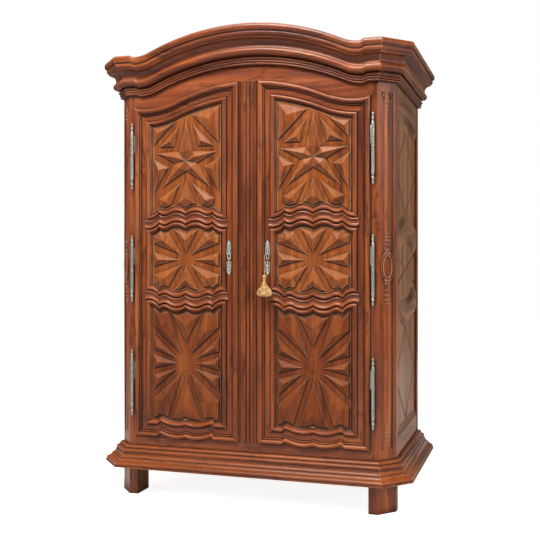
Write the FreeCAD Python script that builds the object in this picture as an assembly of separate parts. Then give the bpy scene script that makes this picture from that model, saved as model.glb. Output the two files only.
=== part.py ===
import FreeCAD, Part
import math
import os

V = FreeCAD.Vector

# ---------------------------------------------------------------- driving dimensions, millimetres
# Everything is drawn with y = 0 on the front face of the posts, z = 0 on the floor and x = 0 on the
# middle of the front, and is moved to the middle of the cabinet's own box when it is written out.

# carcass
FRONT_HALF_WIDTH = 670.0      # middle of the front to the edge of the cut-off corner
CORNER_CUT = 76.0             # the corner is cut off at 45 degrees by this much each way
BODY_DEPTH = 772.0
FOOT_HEIGHT = 157.0
BODY_TOP = 2234.0             # top of the posts, hidden behind the cornice
POST_FACE = 34.0              # front face of a post, beside its door
POST_DEPTH = 120.0
BACK_POST_WIDTH = 70.0
BACK_POST_DEPTH = 44.0
STOP_LIP = 14.0               # how far the posts, frieze and bottom rail reach behind the doors
RAIL_DEPTH = 50.0             # frieze rail, bottom rail and centre stile, front to back
BOTTOM_RAIL_HEIGHT = 148.0
CENTRE_STILE_HALF = 40.0
REED_WIDTH = 17.0
REED_HEIGHT = 7.0

CORNER_MARGIN = 78.0          # plain wood below the point of the corner's sunk strip
CORNER_TOP_MARGIN = 48.0
SUNK_POINT = 26.0             # how far the strip's foot rises to a point in its middle
SUNK_HALF = 33.0
SUNK_DEPTH = 5.0
RIB_HALF = 22.0
MEDALLION_CENTRE = 1203.0
MEDALLION_HALF_WIDTH = 40.0
MEDALLION_HALF_HEIGHT = 70.0
RIM_WIDTH = 7.0
INNER_RIM_INSET = 13.0        # of the second, thinner rim
INNER_RIM_WIDTH = 4.0
RIM_PROUD = 5.0
BOSS_PROUD = 2.0
RIB_PROUD = 1.0
FRIEZE_HIDDEN = 110.0         # how far the frieze goes up behind the cornice

# base moulding
BASE_HEIGHT = 103.0
BASE_PROJECTION = 90.0

# cornice
CORNICE_LAP = 130.0           # how far below the posts' tops it starts
CORNICE_HEIGHT = 189.0
CORNICE_PROJECTION = 96.0
CORNICE_RISE = 118.0          # how far the arch stands above the flat corner blocks
VALLEY_DIP = 10.0             # the dip between the arch and the corner blocks
VALLEY_INSET = 74.0           # from the front's end to the dip
BLOCK_INSET = 46.0            # and to the flat corner block
CORNICE_SHARE = 0.86          # share of the cornice's S-curve that belongs to the upper arc

# doors
FRIEZE_FACE = 66.0            # frieze between door and cornice, at the door's outer edge
DOOR_VALLEY_INSET = 58.0      # from the door's outer edge to the dip in its top
DOOR_DIP = 12.0
ARCH_SHARE = 0.68             # share of its S-curve that belongs to the upper arc
RELIEF_INSET = 31.0           # from there out its top is cut level behind the torus, to swing clear
EDGE_GAP = 4.0                # between a lock stile and the centre stile
LOCK_STEP = 10.0              # sunk edge of the lock stile, past the moulding
DOOR_RISE = 105.0             # from there to the arch's crown
DOOR_BACK = 28.0              # back face of the door frame
DOOR_GAP = 3.0                # joint round the doors
STOP_GAP = 0.5                # between the door's back and the stop lip
TENON_THICKNESS = 9.0
TENON_LENGTH = 36.0
TENON_HALF_HEIGHT = 30.0
CORNER_TENON_HALF = 20.0      # tenons of the top and bottom rails
TOP_TENON = 26.0              # their middle above the opening's top corner

# moulding of the door frame, from its edge in
TORUS_WIDTH = 25.0
TORUS_FRONT = -19.0
BEAD_GAP = 1.5                # between the torus and the bead beside it
BEAD_WIDTH = 6.5
BEAD_FRONT = -7.0
BEAD_EDGE = -2.0
QUIRK_WIDTH = 4.0
QUIRK_DEPTH = 3.0
FLAT_WIDTH = 25.0
OVOLO_WIDTH = 20.0
HOLLOW_WIDTH = 5.0            # from the ovolo down to the sight flat
SIGHT_WIDTH = 3.0
OVOLO_FRONT = -12.0
OVOLO_EDGE = -3.5
SIGHT_FACE = 7.0              # y of the narrow flat beside the panel
EDGE_FACE = -5.0              # y where the torus starts on the door's edge

# cross rails and panels
CROSS_RAIL_UPPER = 1440.0
CROSS_RAIL_LOWER = 1033.0
TIP_SETBACK = 5.0             # the rails' ends start this far short of the ovolo's quirk
TIP_POINT = 2.0               # and have a blunt point this long
SCALLOP_RISE = 19.0
CREST_INSET = 7.0             # from a rail's quirk to the sharp crest beside its hollow middle
CREST_FRONT = -10.0
VALLEY_FRONT = -1.0
TONGUE = 9.0
TONGUE_FRONT = 12.0
TONGUE_BACK = 20.0
PANEL_GROUND = 4.0            # y of the panels' flat ground
PANEL_MARGIN = 9.0            # flat ground left round the carving
BEVEL_RISE = 6.0              # height of the bevelled plinth under each diamond point
BEVEL_WIDTH = 6.5
PLINTH_LEDGE = 2.0            # flat ledge inside the bevel
SHORT_SPAN = 24.0             # the carving follows shorter stretches of a waved edge with one straight line
RAY_BEVEL = 0.8               # the bevel along the sides where the star's rays meet
RAY_LEDGE = 0.4
POINT_STEP = 2.0              # upright step round the point itself
POINT_HEIGHT = 12.0           # tallest diamond point above that step
POINT_SLOPE = 0.45            # rise of its facets
PANEL_SHADOW = 4.0            # joint between the raised field and the frame

# sides
SIDE_RECESS = 2.0             # side rails behind the posts' faces
SIDE_RAIL_DEPTH = 34.0
SIDE_TOP_RAIL = 325.0         # at its ends
SIDE_BOTTOM_RAIL = 227.0
SIDE_WAVE_RISE = 50.0
SIDE_UPPER_RAIL = 1351.0
SIDE_LOWER_RAIL = 1006.0
SIDE_RAIL_HALF = 71.0
SIDE_STEPS = 3                # steps of the rails' stepped edge
SIDE_STEP = 10.0              # width of each
SIDE_PANEL_FRONT = 12.0
SIDE_LINE_MARGIN = 16.0       # from the panel's edge to the incised lines
LOZENGE_CENTRES = {"top": 0.55, "bottom": 0.465}
LOZENGE_SHARE = 0.44
SALTIRE_ENDS = (0.138, 0.93)
SIDE_GROOVE = 18.0            # width of the incised lines
SIDE_GROOVE_DEPTH = 6.0

JOINT_TENON = 30.0            # length of the carcass tenons
TENON_ROOT = 10.0             # how far a tenon's solid starts inside its rail
SIDE_TENON_HALF = 30.0        # half the height of the side rails' tenons

# inside
FLOOR_LIFT = 25.0             # floor above the bottom rail
BOARD_THICKNESS = 20.0
SHELF_THICKNESS = 22.0
SHELF_LOWER = 890.0
SHELF_UPPER = 1440.0
SHELF_GAP = 12.0              # between the shelves and the frame behind the doors
BEARER = 30.0
BACK_RAIL_SETBACK = 6.0
BACK_RAIL_HEIGHT = 110.0
BACK_BOARD_THICKNESS = 14.0
BACK_PLANKS = 7
BOARD_COUNT = 5
BOARD_JOINT = 1.5

# hinges
HINGE_OFFSET = 15.0           # from the door's outer edge
HINGE_FROM_BOTTOM = 280.0     # lowest hinge above the door's bottom edge
HINGE_FROM_TOP = 259.0        # highest hinge below the door's top
HINGE_MIDDLE = 1189.0
HINGE_Y = -14.0
HINGE_RADIUS = 9.5
HINGE_HALF = 176.0
HINGE_FINIAL = 40.0
HINGE_PIN_RADIUS = 4.0
HINGE_PIN_CLEARANCE = 0.05
HINGE_PIN_REACH = 60.0
HINGE_SPLIT = 0.6             # gap between the two knuckles
LEAF_THICKNESS = 2.5
LEAF_HEIGHT = 90.0
LEAF_REACH = 36.0

# locks and key
LOCK_INSET = 50.5             # keyhole from the edge of the door's moulding
LOCK_Z = 1258.0
ESCUTCHEON_HALF_WIDTH = 12.0
ESCUTCHEON_HALF_HEIGHT = 87.0
ESCUTCHEON_THICKNESS = 2.0
ESCUTCHEON_DROP = 10.0        # its middle below the keyhole
CASE_INSET = 14.0             # from the door's inner edge
CASE_WIDTH = 68.0
CASE_HALF_HEIGHT = 34.0
CASE_DEPTH = 22.0
CASE_WALL = 2.0
BOLT_INSET = 2.0              # the drawn bolt's tip, inside the door's edge
BOLT_LENGTH = 42.0
BOLT_THROW = 14.0
BOLT_HALF_HEIGHT = 10.0
BOLT_THICKNESS = 8.0
BOLT_CLEARANCE = 0.3
KEEPER_THICKNESS = 2.0
KEEPER_HALF_HEIGHT = 24.0
KEY_RADIUS = 3.0
KEYHOLE_CLEARANCE = 0.6
KEY_SHORT = 4.0               # the key's end, short of the back of the lock case
KEY_BIT = 13.0
KEY_BIT_THICKNESS = 2.6
KEY_BOW_CENTRE = -33.0
KEY_BOW_RADIUS = 11.0
KEY_REST_TURN = 60.0          # how far the key is turned from upright as it rests
KEY_BOW_WIRE = 2.2

# tassel
CORD_LENGTH = 95.0
TASSEL_HEIGHT = 110.0
CORD_RADIUS = 1.6
CORD_GAP = 0.4                # in front of the key's bow, so that the key can turn
TASSEL_HALF_WIDTH = 42.0
TASSEL_HALF_DEPTH = 20.0
TASSEL_NECK = 9.0
TASSEL_HEAD = 13.0

# pegs
PEG_RADIUS = 4.0
PEG_PROUD = 0.6
PEG_SPREAD = 11.0             # each way from the middle of a tenon

# ---------------------------------------------------------------- worked out from those
SIDE_FACE = FRONT_HALF_WIDTH + CORNER_CUT
POST_EDGE = FRONT_HALF_WIDTH - POST_FACE
LIP_EDGE = POST_EDGE - STOP_LIP
LIP_FRONT = DOOR_BACK + STOP_GAP
BOTTOM_RAIL_TOP = FOOT_HEIGHT + BOTTOM_RAIL_HEIGHT
CORNICE_BOTTOM = BODY_TOP - CORNICE_LAP
CORNICE_VALLEY = FRONT_HALF_WIDTH - VALLEY_INSET
CORNICE_BLOCK = FRONT_HALF_WIDTH - BLOCK_INSET

DOOR_OUTER = POST_EDGE - DOOR_GAP
DOOR_EDGE = CENTRE_STILE_HALF + EDGE_GAP
DOOR_INNER = DOOR_EDGE + LOCK_STEP
DOOR_BOTTOM = BOTTOM_RAIL_TOP + DOOR_GAP
DOOR_TOP = CORNICE_BOTTOM - FRIEZE_FACE      # at the outer edge
DOOR_VALLEY = DOOR_OUTER - DOOR_VALLEY_INSET
DOOR_CENTRE = (DOOR_OUTER + DOOR_INNER) / 2

BEAD_START = TORUS_WIDTH + BEAD_GAP
QUIRK_EDGE = BEAD_START + BEAD_WIDTH
FLAT_START = QUIRK_EDGE + QUIRK_WIDTH
FLAT_END = FLAT_START + FLAT_WIDTH
OVOLO_START = FLAT_END + QUIRK_WIDTH
OVOLO_END = OVOLO_START + OVOLO_WIDTH
SIGHT_START = OVOLO_END + HOLLOW_WIDTH
FRAME_WIDTH = SIGHT_START + SIGHT_WIDTH
CROSS_RAIL_TIP = FLAT_END - TIP_SETBACK
CROSS_HALF = FRAME_WIDTH - OVOLO_START + FLAT_WIDTH + QUIRK_WIDTH / 2
OPENING_HALF = (DOOR_OUTER - DOOR_INNER) / 2 - FRAME_WIDTH
BOTTOM_TENON = FRAME_WIDTH - CORNER_TENON_HALF - QUIRK_WIDTH      # middle of the bottom rail's tenons
PEG_INSET = (FLAT_START + FLAT_END) / 2

SIDE_CENTRE = (POST_DEPTH + BODY_DEPTH - BACK_POST_DEPTH) / 2
SIDE_HALF = (BODY_DEPTH - BACK_POST_DEPTH - POST_DEPTH) / 2
SIDE_TOP_EDGE = BODY_TOP - SIDE_TOP_RAIL
SIDE_BOTTOM_EDGE = FOOT_HEIGHT + SIDE_BOTTOM_RAIL
FLOOR_TOP = BOTTOM_RAIL_TOP + FLOOR_LIFT
SHELF_FRONT = RAIL_DEPTH + SHELF_GAP
BACK_RAIL_FRONT = BODY_DEPTH - BACK_POST_DEPTH + BACK_BOARD_THICKNESS      # behind the planks

HINGE_X = DOOR_OUTER + HINGE_OFFSET
HINGE_CENTRES = (DOOR_BOTTOM + HINGE_FROM_BOTTOM, HINGE_MIDDLE, DOOR_TOP - HINGE_FROM_TOP)
LOCK_X = DOOR_INNER + LOCK_INSET
ESCUTCHEON_CENTRE = LOCK_Z - ESCUTCHEON_DROP
CASE_LEFT = DOOR_EDGE + CASE_INSET
CASE_RIGHT = CASE_LEFT + CASE_WIDTH
BOLT_TIP = DOOR_EDGE + BOLT_INSET
KEYHOLE_RADIUS = KEY_RADIUS + KEYHOLE_CLEARANCE
KEY_END = DOOR_BACK + CASE_DEPTH - KEY_SHORT
CORD_Y = KEY_BOW_CENTRE - KEY_BOW_RADIUS - KEY_BOW_WIRE - CORD_GAP - CORD_RADIUS
TASSEL_TOP = LOCK_Z - CORD_LENGTH
TASSEL_BOTTOM = TASSEL_TOP - TASSEL_HEIGHT
TO_ORIGIN = V(0, -(BODY_DEPTH - CORNICE_PROJECTION) / 2, 0)
FAR = 400.0                   # past the end of anything that is cut

nodes = {}


# ---------------------------------------------------------------- plain helpers
def box(x0, x1, y0, y1, z0, z1):
    return Part.makeBox(x1 - x0, y1 - y0, z1 - z0, V(x0, y0, z0))


def rod(start, direction, radius, length):
    return Part.makeCylinder(radius, length, start, direction)


def mirrored(shape):
    return shape.mirror(V(0, 0, 0), V(1, 0, 0))


def group(shapes):
    return Part.makeCompound(shapes)


def fused(shapes):
    if len(shapes) == 1:
        return shapes[0]
    return shapes[0].multiFuse([shape.copy() for shape in shapes[1:]]).removeSplitter()


def without(shape, tools):
    """The shape less the tools, which are copied because a cut can spoil the solids it uses."""
    return shape.copy().cut([tool.copy() for tool in tools])


def edges_of(steps, place):
    """Edges through steps: (a, b) is a straight step, (a, b, c, d) an arc through (a, b) to (c, d),
    and a list is a smooth curve through its points. place turns a pair into a point."""
    here = place(*steps[0])
    edges = []
    for step in list(steps[1:]) + [steps[0]]:
        if isinstance(step, list):
            curve = Part.BSplineCurve()
            curve.interpolate([here] + [place(*pair) for pair in step])
            edges.append(curve.toShape())
            there = place(*step[-1])
        elif len(step) == 4:
            there = place(*step[2:])
            edges.append(Part.Arc(here, place(*step[:2]), there).toShape())
        else:
            there = place(*step)
            if here.distanceToPoint(there) < 1e-6:
                continue
            edges.append(Part.LineSegment(here, there).toShape())
        here = there
    return edges


def face_of(steps, place):
    return Part.Face(Part.Wire(Part.__sortEdges__(edges_of(steps, place))))


def upright(steps, y0, y1):
    """A front-view outline in x and z, given thickness from y0 to y1."""
    return face_of(steps, lambda x, z: V(x, y0, z)).extrude(V(0, y1 - y0, 0))


def plan(steps, z0, z1):
    """A plan outline in x and y, given height from z0 to z1."""
    return face_of(steps, lambda x, y: V(x, y, z0)).extrude(V(0, 0, z1 - z0))


# ---------------------------------------------------------------- waved lines
def quarter(x0, z0, x1, z1):
    """Middle of the arc that leaves (x0, z0) level and ends at (x1, z1)."""
    wide, high = x1 - x0, z1 - z0
    radius = (wide * wide + high * high) / (2 * abs(high))
    half_turn = math.asin(wide / radius) / 2
    lift = math.copysign(radius * (1 - math.cos(half_turn)), high)
    return x0 + radius * math.sin(half_turn), z0 + lift


def s_curve(x0, z0, x1, z1, share=0.5):
    """Two arcs in line, level at both ends."""
    xm, zm = x0 + (x1 - x0) * share, z0 + (z1 - z0) * share
    first = quarter(x0, z0, xm, zm)
    ax, az = quarter(-x1, z1, -xm, zm)
    return [first + (xm, zm), (-ax, az, x1, z1)]


class Wave:
    """Height against distance from a middle line, as arcs and straight lines end to end."""

    def __init__(self, middle, start, steps):
        self.middle = middle
        self.pieces = []
        here = start
        for step in steps:
            self.pieces.append((here, step[:2] if len(step) == 4 else None, step[-2:]))
            here = step[-2:]

    def flipped(self):
        other = Wave(self.middle, (0, 0), [])
        for here, mid, there in self.pieces:
            turned = mid and (mid[0], -mid[1])
            other.pieces.append(((here[0], -here[1]), turned, (there[0], -there[1])))
        return other

    def height(self, x):
        across = abs(x - self.middle)
        for (x0, z0), mid, (x1, z1) in self.pieces:
            if across <= x1 + 1e-9:
                if mid is None:
                    return z0 + (z1 - z0) * (across - x0) / (x1 - x0)
                circle = Part.Circle(V(x0, 0, z0), V(mid[0], 0, mid[1]), V(x1, 0, z1))
                centre, radius = circle.Center, circle.Radius
                rise = math.sqrt(max(radius ** 2 - (across - centre.x) ** 2, 0))
                chord = z0 + (z1 - z0) * (mid[0] - x0) / (x1 - x0)
                return centre.z + (rise if mid[1] > chord else -rise)
        return self.pieces[-1][2][1]

    def stations(self, xa, xb):
        """Where one arc or line ends and the next starts, from xa to xb."""
        ends = {0.0}
        for _, _, (x1, _) in self.pieces:
            ends |= {x1, -x1}
        low, high = min(xa, xb), max(xa, xb)
        inner = [self.middle + end for end in ends if low + 1e-6 < self.middle + end < high - 1e-6]
        stops = [low] + sorted(inner) + [high]
        return stops if xa < xb else stops[::-1]

    def steps(self, xa, xb, lift):
        """The line from xa to xb as outline steps, without its first point."""
        found = []
        stops = self.stations(xa, xb)
        for x0, x1 in zip(stops, stops[1:]):
            xm = (x0 + x1) / 2
            zm = self.height(xm)
            if abs(zm - (self.height(x0) + self.height(x1)) / 2) < 1e-7:
                found.append((x1, self.height(x1) + lift))
            else:
                found.append((xm, zm + lift, x1, self.height(x1) + lift))
        return found

    def point(self, x, lift):
        return x, self.height(x) + lift


def swept(profile, wave, xa, xb, level):
    """A profile of (y, height above the wave) carried along the wave without turning."""
    spans = []
    stops = wave.stations(xa, xb)
    for x0, x1 in zip(stops, stops[1:]):
        z0 = wave.height(x0)
        face = face_of(profile, lambda y, z: V(x0, y, z + level + z0))
        xm = (x0 + x1) / 2
        start, middle, end = (V(x, 0, wave.height(x) + level) for x in (x0, xm, x1))
        if abs(middle.z - (start.z + end.z) / 2) < 1e-7:
            spans.append(face.extrude(end - start))
            continue
        pipe = Part.BRepOffsetAPI.MakePipeShell(Part.Wire(Part.Arc(start, middle, end).toShape()))
        pipe.setTrihedronMode(V(0, 0, 0), V(0, 1, 0))
        pipe.add(face.OuterWire, False, False)
        pipe.build()
        pipe.makeSolid()
        spans.append(pipe.shape())
    return fused(spans)


DOOR_ARC_RADIUS = ((DOOR_OUTER - DOOR_VALLEY) ** 2 + DOOR_DIP ** 2) / (2 * DOOR_DIP)


def door_wave_steps():
    end = POST_EDGE
    rise = DOOR_ARC_RADIUS - math.sqrt(DOOR_ARC_RADIUS ** 2 - (end - DOOR_VALLEY) ** 2)
    low = -DOOR_DIP
    arch = s_curve(0, DOOR_RISE, DOOR_VALLEY, low, ARCH_SHARE)
    return arch + [quarter(DOOR_VALLEY, low, end, low + rise) + (end, low + rise)]


DOOR_WAVE = Wave(0, (0, DOOR_RISE), door_wave_steps())
CORNICE_WAVE = Wave(0, (0, CORNICE_RISE),
                    s_curve(0, CORNICE_RISE, CORNICE_VALLEY, -VALLEY_DIP, CORNICE_SHARE)
                    + s_curve(CORNICE_VALLEY, -VALLEY_DIP, CORNICE_BLOCK, 0)
                    + [(FRONT_HALF_WIDTH + CORNICE_PROJECTION, 0)])


def scalloped(steps):
    """Steps given as shares of the opening's half width and of the scallops' rise."""
    scale = (OPENING_HALF, SCALLOP_RISE, OPENING_HALF, SCALLOP_RISE)
    return [tuple(value * by for value, by in zip(step, scale)) for step in steps]


# scalloped rails: cusp in the middle, a broad hump, a second cusp, and a hollow out to the tip
SCALLOP = Wave(DOOR_CENTRE, (0, 0), scalloped([(0.245, 1, 0.5, 0.37), (0.645, 0.05, 0.77, 0.63),
                                               (0.99, -0.9, 1.25, -0.58)]))
FOOT_SCALLOP = Wave(DOOR_CENTRE, (0, 0.2 * SCALLOP_RISE),
                    scalloped([(0.153, -0.26, 0.317, -0.32), (0.532, 0.05, 0.685, 0.63),
                               (0.767, 0.58, 0.818, 0)]) + [(2 * FAR, 0)])
SIDE_WAVE = Wave(0, (0, SIDE_WAVE_RISE),
                 s_curve(0, SIDE_WAVE_RISE, SIDE_HALF - 50, -5, 0.6)
                 + [quarter(SIDE_HALF - 50, -5, SIDE_HALF + 10, 4) + (SIDE_HALF + 10, 4)])
LEVEL = Wave(0, (0, 0), [(2 * FAR, 0)])


def outline_between(low, low_lift, high, high_lift, xa, xb):
    """Closed outline from xa to xb, between two waves."""
    return ([low.point(xa, low_lift)] + low.steps(xa, xb, low_lift)
            + [high.point(xb, high_lift)] + high.steps(xb, xa, high_lift))


# ---------------------------------------------------------------- mouldings
def sight_moulding(shift):
    """Quirk, ovolo and hollow beside the panel, as (t, y), moved in by shift."""
    return [(FLAT_END - shift, 0), (OVOLO_START - QUIRK_WIDTH / 2 - shift, QUIRK_DEPTH),
            (OVOLO_START - shift, QUIRK_DEPTH), (OVOLO_START - shift, OVOLO_EDGE),
            ((OVOLO_START + OVOLO_END) / 2 - shift, OVOLO_FRONT, OVOLO_END - shift, OVOLO_EDGE),
            (OVOLO_END + HOLLOW_WIDTH / 3 - shift, (OVOLO_EDGE + 2 * SIGHT_FACE) / 3,
             SIGHT_START - shift, SIGHT_FACE), (FRAME_WIDTH - shift, SIGHT_FACE)]


def frame_moulding(back):
    """The door frame's section, as (t, y) from the outer edge to the sight edge."""
    return [(0, back), (0, EDGE_FACE),
            (TORUS_WIDTH / 2, TORUS_FRONT, TORUS_WIDTH, EDGE_FACE), (TORUS_WIDTH, BEAD_EDGE),
            (BEAD_START, BEAD_EDGE), (BEAD_START + BEAD_WIDTH / 2, BEAD_FRONT, QUIRK_EDGE, BEAD_EDGE),
            (QUIRK_EDGE, QUIRK_DEPTH), (FLAT_START - 1, QUIRK_DEPTH), (FLAT_START, 0)
            ] + sight_moulding(0) + [(FRAME_WIDTH, back)]


def turned(profile, start, sign):
    """The same section as (y, z), with its outer edge at start and growing by sign."""
    steps = []
    for step in profile:
        pairs = [(step[i + 1], start + sign * step[i]) for i in range(0, len(step), 2)]
        steps.append(tuple(value for pair in pairs for value in pair))
    return steps


def cross_moulding():
    """A cross rail's section: a sight moulding each side of a hollow between two crests."""
    upper = sight_moulding(FRAME_WIDTH - CROSS_HALF)
    lower = []
    for step, before in zip(upper[:0:-1], upper[-2::-1]):
        middle = (-step[0], step[1]) if len(step) == 4 else ()
        lower.append(middle + (-before[-2], before[-1]))
    foot = upper[0][0]
    crest = foot - CREST_INSET
    shoulder = (foot - 0.25 * CREST_INSET, 0.7 * CREST_FRONT)
    middle = [(-shoulder[0], shoulder[1], -crest, CREST_FRONT), (0, VALLEY_FRONT, crest, CREST_FRONT),
              shoulder + upper[0]]
    section = [(CROSS_HALF, DOOR_BACK), (-CROSS_HALF, DOOR_BACK), (-CROSS_HALF, SIGHT_FACE)]
    return turned(section + lower + middle + upper[1:], 0, 1)


# ---------------------------------------------------------------- door frame
def opening_side(side, reach):
    """x of the opening's edge on the hinge side (+1) or the lock side (-1), reach further out."""
    return DOOR_CENTRE + side * (OPENING_HALF + reach)


def mitre(wave, level, side, sign, start=0.0):
    """Points along the mitre between a stile and a rail that follows the wave, from the outside in.
    sign is -1 under a top edge and +1 over a bottom edge."""
    points = []
    count = 6
    for i in range(count + 1):
        t = start + (FRAME_WIDTH - start) * i / count
        x = opening_side(side, FRAME_WIDTH - t)
        points.append((x, level + wave.height(x) + sign * t))
    return points


def top_region():
    """What belongs to the top rail in front view."""
    right = mitre(DOOR_WAVE, DOOR_TOP, 1, -1)
    left = mitre(DOOR_WAVE, DOOR_TOP, -1, -1)
    high = DOOR_TOP + FAR
    low = DOOR_TOP - FAR / 2
    steps = [right[0], right[1:], (right[-1][0], low), (left[-1][0], low), left[-1], left[-2::-1],
             (left[0][0], high), (right[0][0], high)]
    return upright(steps, -FAR, FAR)


def bottom_region():
    right = mitre(LEVEL, DOOR_BOTTOM, 1, 1)
    left = mitre(LEVEL, DOOR_BOTTOM, -1, 1)
    high = DOOR_BOTTOM + FAR / 2
    low = DOOR_BOTTOM - FAR
    steps = [right[0], right[-1], (right[-1][0], high), (left[-1][0], high), left[-1], left[0],
             (left[0][0], low), (right[0][0], low)]
    return upright(steps, -FAR, FAR)


def cross_region(wave, level):
    """What belongs to a cross rail: mitred to the stiles' mouldings, with a blunt point each end."""
    shift = CROSS_HALF - FRAME_WIDTH
    ends = []
    for side in (1, -1):
        upper = mitre(wave, level + shift, side, 1, CROSS_RAIL_TIP)
        lower = mitre(wave, level - shift, side, -1, CROSS_RAIL_TIP)
        tip = opening_side(side, FRAME_WIDTH - CROSS_RAIL_TIP + TIP_POINT)
        ends.append((upper, (tip, level + wave.height(tip)), lower))
    (ru, rt, rl), (lu, lt, ll) = ends
    steps = [ru[-1], ru[-2::-1], rt, rl[0], rl[1:], (rl[-1][0], level - FAR / 3),
             (ll[-1][0], level - FAR / 3), ll[-1], ll[-2::-1], lt, lu[0], lu[1:],
             (lu[-1][0], level + FAR / 3), (ru[-1][0], level + FAR / 3)]
    return upright(steps, -FAR, FAR)


def stile(side):
    """Moulded stile of the full height, under the door's waved top edge."""
    if side > 0:
        section = turned(frame_moulding(DOOR_BACK), DOOR_OUTER, -1)
    else:
        section = turned(frame_moulding(DOOR_BACK), DOOR_INNER, 1)
    solid = face_of(section, lambda y, x: V(x, y, DOOR_BOTTOM)).extrude(V(0, 0, FAR + DOOR_TOP - DOOR_BOTTOM))
    if side < 0:
        step = box(DOOR_EDGE, DOOR_INNER, QUIRK_DEPTH, DOOR_BACK, DOOR_BOTTOM, FAR + DOOR_TOP)
        solid = fused([solid, step])
    above = upright([DOOR_WAVE.point(DOOR_EDGE - 1, DOOR_TOP)]
                    + DOOR_WAVE.steps(DOOR_EDGE - 1, DOOR_OUTER + 1, DOOR_TOP)
                    + [(DOOR_OUTER + 1, DOOR_TOP + 2 * FAR), (DOOR_EDGE - 1, DOOR_TOP + 2 * FAR)], -FAR, FAR)
    return solid.cut(above)


def corner_relief():
    """What comes off behind the torus, where the door's outer corner swings under the frieze."""
    level = DOOR_TOP - DOOR_DIP + DOOR_GAP
    return box(DOOR_OUTER - RELIEF_INSET, DOOR_OUTER + 1, 0, DOOR_BACK + 1, level, level + FAR)


def door_panels():
    """The three openings of a door: lower wave, its lift, upper wave and its lift."""
    hollow = SCALLOP.flipped()
    return {
        "top": (SCALLOP, CROSS_RAIL_UPPER + CROSS_HALF, DOOR_WAVE, DOOR_TOP - FRAME_WIDTH),
        "middle": (hollow, CROSS_RAIL_LOWER + CROSS_HALF, SCALLOP, CROSS_RAIL_UPPER - CROSS_HALF),
        "bottom": (FOOT_SCALLOP, DOOR_BOTTOM + FRAME_WIDTH, hollow, CROSS_RAIL_LOWER - CROSS_HALF),
    }


def panel_prism(panel, reach, y0, y1):
    """The panel's opening, reach wider all round, from y0 to y1."""
    low, low_lift, high, high_lift = panel
    xa, xb = opening_side(-1, reach), opening_side(1, reach)
    return upright(outline_between(low, low_lift - reach, high, high_lift + reach, xa, xb), y0, y1)


# ---------------------------------------------------------------- carved panels
def inset(outline, distances):
    """The polygon with each side moved inwards by its own distance."""
    area = sum(x0 * z1 - x1 * z0 for (x0, z0), (x1, z1) in zip(outline, outline[1:] + outline[:1]))
    sign = math.copysign(1, area)
    moved = []
    for (x0, z0), (x1, z1), distance in zip(outline, outline[1:] + outline[:1], distances):
        length = math.hypot(x1 - x0, z1 - z0)
        nx, nz = -sign * (z1 - z0) / length, sign * (x1 - x0) / length
        moved.append((x0 + nx * distance, z0 + nz * distance, (x1 - x0) / length, (z1 - z0) / length))
    corners = []
    for (ax, az, adx, adz), (bx, bz, bdx, bdz) in zip(moved[-1:] + moved[:-1], moved):
        across = adx * bdz - adz * bdx
        if abs(across) < 1e-6:
            corners.append((bx, bz))
            continue
        along = ((bx - ax) * bdz - (bz - az) * bdx) / across
        corners.append((ax + adx * along, az + adz * along))
    return corners


def reach_inside(outline, x, z):
    """Distance from a point to the nearest side, negative outside."""
    area = sum(x0 * z1 - x1 * z0 for (x0, z0), (x1, z1) in zip(outline, outline[1:] + outline[:1]))
    sign = math.copysign(1, area)
    nearest = FAR
    for (x0, z0), (x1, z1) in zip(outline, outline[1:] + outline[:1]):
        length = math.hypot(x1 - x0, z1 - z0)
        nearest = min(nearest, sign * ((x1 - x0) * (z - z0) - (z1 - z0) * (x - x0)) / length)
    return nearest


def deepest(outline):
    """Where equal slopes from all sides would meet, and how far that is from them."""
    best = (sum(x for x, _ in outline) / len(outline), sum(z for _, z in outline) / len(outline))
    step = 40.0
    while step > 0.2:
        near = [(best[0] + i * step, best[1] + j * step) for i in (-1, 0, 1) for j in (-1, 0, 1)]
        found = max(near, key=lambda spot: reach_inside(outline, *spot))
        if reach_inside(outline, *found) <= reach_inside(outline, *best) + 1e-9:
            step /= 2
        best = found
    return best, reach_inside(outline, *best)


def tapered(low, low_face, high, high_face):
    """Solid between two polygons with parallel sides, or under a peak if the upper one is a point."""
    ring = [V(x, low_face, z) for x, z in low]
    top = [V(x, high_face, z) for x, z in high]
    faces = [Part.Face(Part.makePolygon(ring + ring[:1]))]
    if len(top) > 1:
        faces.append(Part.Face(Part.makePolygon(top + top[:1])))
    for i in range(len(ring)):
        here, there = ring[i - 1], ring[i]
        above = top if len(top) == 1 else [top[i], top[i - 1]]
        faces.append(Part.Face(Part.makePolygon([here, there] + above + [here])))
    solid = Part.makeSolid(Part.makeShell(faces))
    if solid.Volume < 0:
        solid.reverse()
    return solid


def diamond_point(outline, bevels=None, ledges=None):
    """A faceted point over the outline, on a bevelled plinth. bevels and ledges are the plinth's widths
    along each side of the outline, where they differ."""
    bevels = bevels or [BEVEL_WIDTH] * len(outline)
    ledges = ledges or [PLINTH_LEDGE] * len(outline)
    plinth_face = PANEL_GROUND - BEVEL_RISE
    point_face = plinth_face - POINT_STEP
    foot = upright(outline, PANEL_GROUND, PANEL_GROUND + 1)
    plinth = tapered(outline, PANEL_GROUND, inset(outline, bevels), plinth_face)
    base = inset(outline, [bevel + ledge for bevel, ledge in zip(bevels, ledges)])
    step = upright(base, point_face, plinth_face + 1)
    peak, deep = deepest(base)
    point = tapered(base, point_face, [peak], point_face - min(POINT_HEIGHT, deep * POINT_SLOPE))
    return [foot, plinth, step, point]


def ray(outline):
    """A ray of the star, which meets its neighbours along its first and last sides."""
    return diamond_point(outline, [RAY_BEVEL, BEVEL_WIDTH, BEVEL_WIDTH, RAY_BEVEL],
                         [RAY_LEDGE, PLINTH_LEDGE, PLINTH_LEDGE, RAY_LEDGE])


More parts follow.
